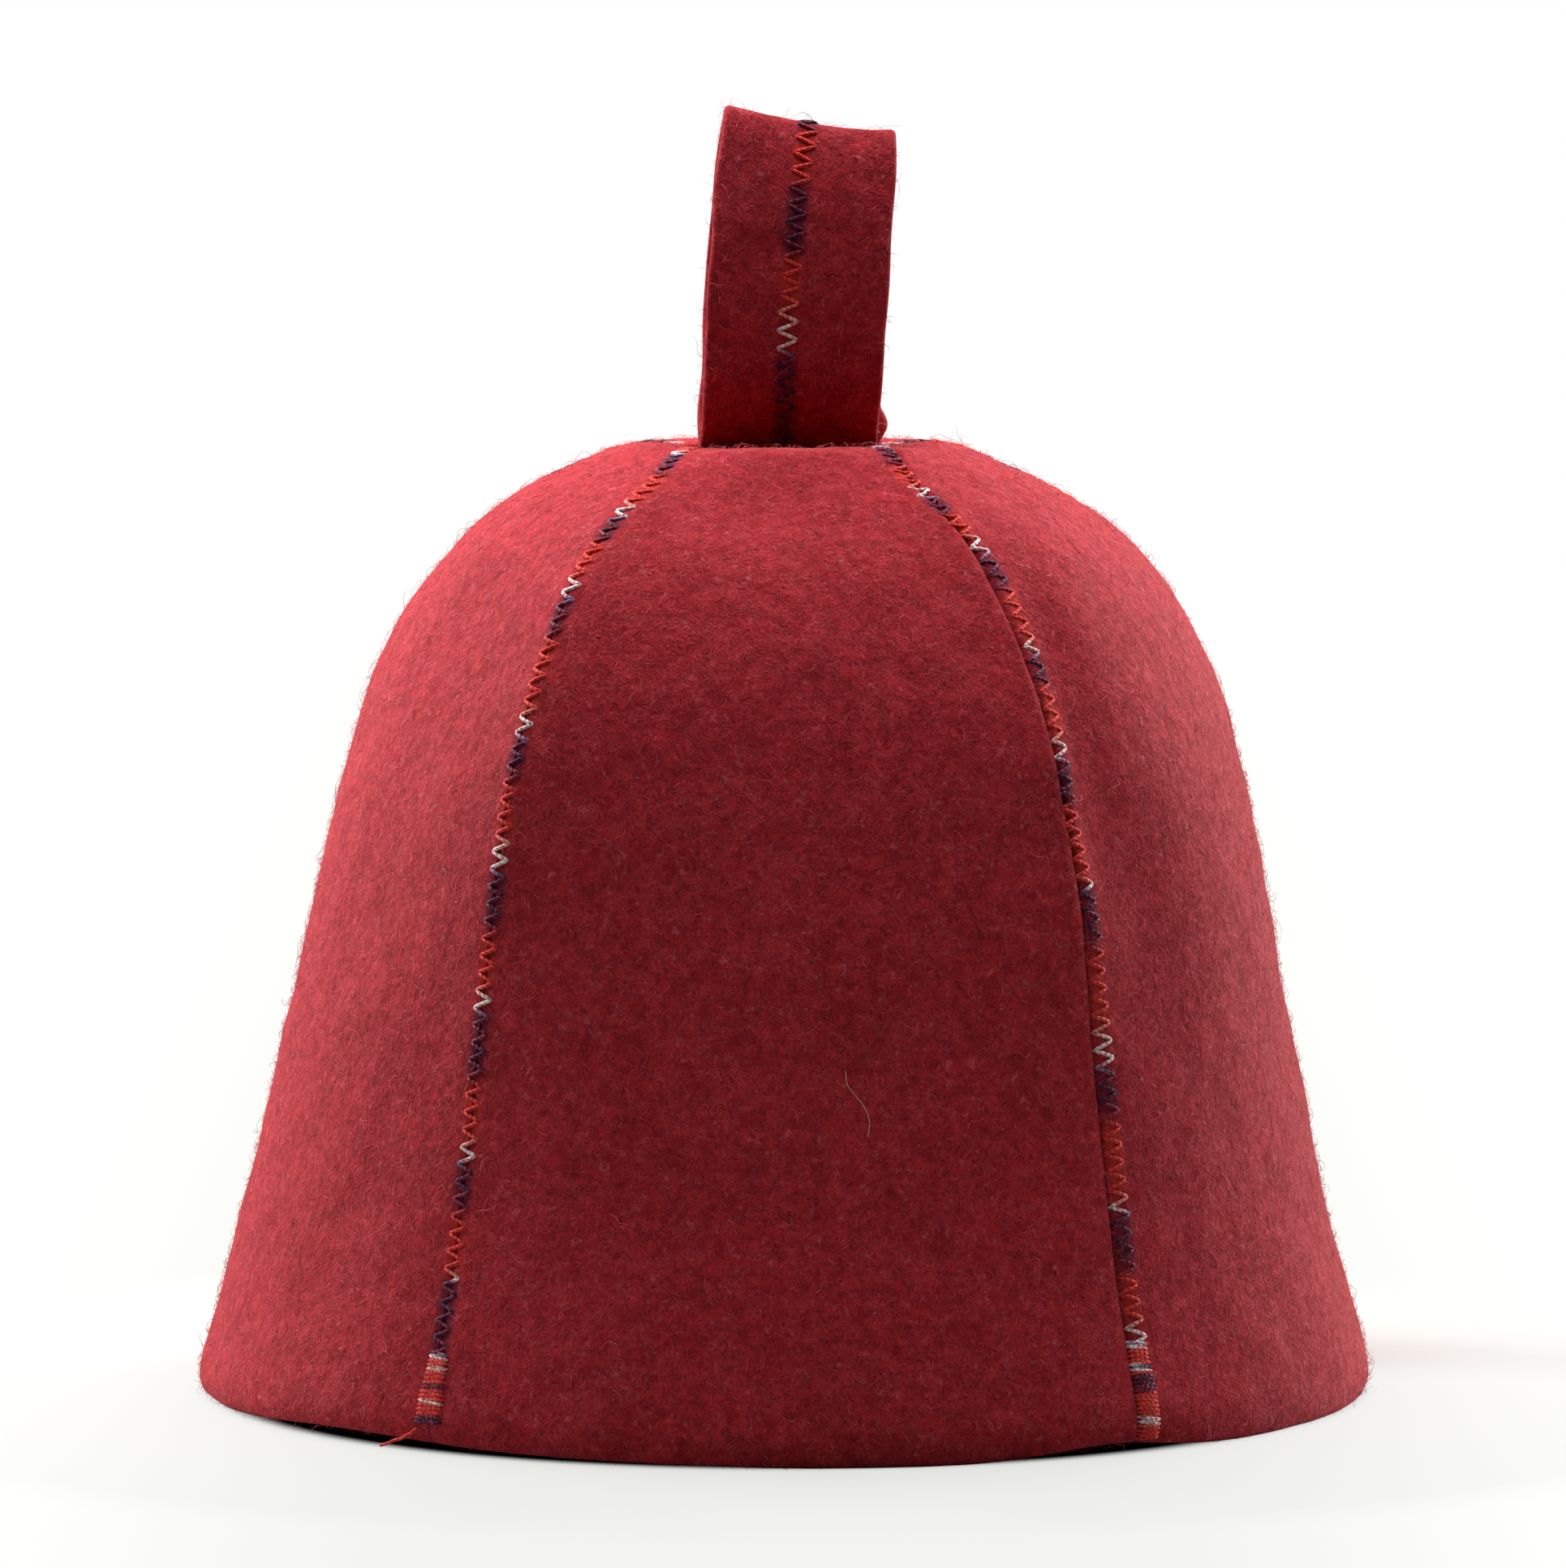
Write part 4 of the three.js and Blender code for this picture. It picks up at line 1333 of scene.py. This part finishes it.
class SAUNAHAT_OT_loop_stitches(bpy.types.Operator):
    """Sews the zigzag down the middle of the strap"""
    bl_idname = "saunahat.loop_stitches"
    bl_label = "Loop stitches"

    def execute(self, context):
        stitches = context.scene.sauna_hat_stitches
        half = stitches.zigzag_width / MM / 2
        hidden = (LOOP_TAIL + FELT + 1.5) / LOOP.length
        along = np.linspace(hidden, 1 - hidden, 220)
        left, centre, right = (
            loop_place(strap_middle(along) + part, along, FELT / 2 + 0.05)
            for part in (-half, 0, half))
        line = swinging_line("loop_stitch_line", left, centre, right, strap_dye(along))
        cycles = round(LOOP.length * (1 - 2 * hidden) * MM / stitches.zigzag_pitch)
        stitched("zigzag_hanging_loop", stitches, line, cycles, 40)
        return {"FINISHED"}


class SAUNAHAT_OT_fuzz(bpy.types.Operator):
    """Scatters loose wool over the felt"""
    bl_idname = "saunahat.fuzz"
    bl_label = "Loose wool"

    def execute(self, context):
        fuzz = context.scene.sauna_hat_fuzz
        material = material_named("loose_wool", fuzz_material, context.scene.sauna_hat_felt)
        tree = tree_named("felt_fuzz", fuzz_tree)
        covered = [("felt_gore_" + gore, gore, "felt") for gore in GORES]
        covered.append(("felt_hanging_loop", "hanging_loop", "loop_felt"))
        for number, (carrier, label, slot) in enumerate(covered):
            mesh = context.scene.objects[carrier].data
            for kind, density, length in (("short", fuzz.density, fuzz.strand_length),
                                          ("curly", fuzz.long_density, fuzz.long_length)):
                joints, tilt, curl = WOOL_KINDS[kind]
                inputs = {
                    "Density": density, "Length": length, "Thickness": fuzz.thickness,
                    "Joints": joints, "Tilt": tilt, "Curl": curl,
                    "Seed": fuzz.seed + number * 20 + joints,
                }
                grow("wool_" + kind + "_" + label, mesh, tree, inputs, material)
        return {"FINISHED"}


class SAUNAHAT_OT_stray(bpy.types.Operator):
    """Lays the pale stray hair on the front gore"""
    bl_idname = "saunahat.stray"
    bl_label = "Stray hair"

    def execute(self, context):
        felt = context.scene.sauna_hat_felt
        spots = np.array(TAN_HAIR)
        place = felt_place("front", *spots.T, -0.12)
        place = felt_place("front", *spots.T, unevenness(place) - HAIR_RISE)
        line = plain_line("hair_line", place, 26, 0)
        material = material_named("pale_hair", hair_material, felt.tan_hair_colour)
        inputs = {"Cycles": 5, "Points per Cycle": 6, "Sides": 5, "Thread Radius": HAIR_RADIUS,
                  "Rise": 0.0, "Dip": 0.0, "Wander": HAIR_WANDER, "Seed": 50}
        tree = tree_named("zigzag_stitch", stitch_tree)
        grow("stray_hair", line, tree, inputs, material)
        return {"FINISHED"}


class SAUNAHAT_OT_stage(bpy.types.Operator):
    """Sets the floor, the soft lights and the camera"""
    bl_idname = "saunahat.stage"
    bl_label = "Stage"

    def execute(self, context):
        scene = context.scene
        stage = scene.sauna_hat_stage
        scene.view_settings.view_transform = "Standard"
        scene.view_settings.look = "None"
        ring = [(FLOOR_RADIUS * math.cos(turn), FLOOR_RADIUS * math.sin(turn), 0.0)
                for turn in np.linspace(0, 2 * math.pi, FLOOR_CORNERS + 1)[:-1]]
        mesh = bpy.data.meshes.new("floor")
        mesh.from_pydata(ring, [], [list(range(len(ring)))])
        floor = bpy.data.objects.new("floor", mesh)
        scene.collection.objects.link(floor)
        mesh.materials.append(floor_material(stage))
        studio_world(stage)
        for side, place in LIGHTS.items():
            area_light(side + "_light", *place, getattr(stage, side + "_power"))
        data = bpy.data.cameras.new("camera")
        data.lens = stage.lens
        data.sensor_width = SENSOR_WIDTH
        camera = bpy.data.objects.new("camera", data)
        camera.location = CAMERA_PLACE
        heading = Vector(CAMERA_TARGET) - camera.location
        camera.rotation_euler = heading.to_track_quat("-Z", "Y").to_euler()
        scene.collection.objects.link(camera)
        scene.camera = camera
        return {"FINISHED"}


class SAUNAHAT_PT_panel(bpy.types.Panel):
    """Buttons for each group of pieces, and their sizes and colours"""
    bl_idname = "SAUNAHAT_PT_panel"
    bl_label = "Sauna hat"
    bl_space_type = "VIEW_3D"
    bl_region_type = "UI"
    bl_category = "Sauna hat"

    def draw(self, context):
        for group, operators in (
                ("sauna_hat_felt", ("saunahat.gores", "saunahat.loop", "saunahat.stray")),
                ("sauna_hat_stitches", ("saunahat.seams", "saunahat.tacks",
                                        "saunahat.loop_stitches")),
                ("sauna_hat_fuzz", ("saunahat.fuzz",)),
                ("sauna_hat_stage", ("saunahat.stage",))):
            box = self.layout.box()
            settings = getattr(context.scene, group)
            for name in settings.__annotations__:
                box.prop(settings, name)
            for operator in operators:
                box.operator(operator)


SETTINGS = {
    "sauna_hat_felt": SaunaHatFelt,
    "sauna_hat_stitches": SaunaHatStitches,
    "sauna_hat_fuzz": SaunaHatFuzz,
    "sauna_hat_stage": SaunaHatStage,
}
CLASSES = (
    *SETTINGS.values(),
    SAUNAHAT_OT_gores,
    SAUNAHAT_OT_loop,
    SAUNAHAT_OT_seams,
    SAUNAHAT_OT_tacks,
    SAUNAHAT_OT_loop_stitches,
    SAUNAHAT_OT_fuzz,
    SAUNAHAT_OT_stray,
    SAUNAHAT_OT_stage,
    SAUNAHAT_PT_panel,
)


def register():
    for kind in CLASSES:
        bpy.utils.register_class(kind)
    for name, kind in SETTINGS.items():
        setattr(bpy.types.Scene, name, PointerProperty(type=kind))


def unregister():
    for name in SETTINGS:
        delattr(bpy.types.Scene, name)
    for kind in reversed(CLASSES):
        bpy.utils.unregister_class(kind)


def main():
    register()
    bpy.ops.saunahat.stage()
    bpy.ops.saunahat.gores()
    bpy.ops.saunahat.loop()
    bpy.ops.saunahat.seams()
    bpy.ops.saunahat.tacks()
    bpy.ops.saunahat.loop_stitches()
    bpy.ops.saunahat.stray()
    bpy.ops.saunahat.fuzz()


if __name__ == "__main__":
    main()
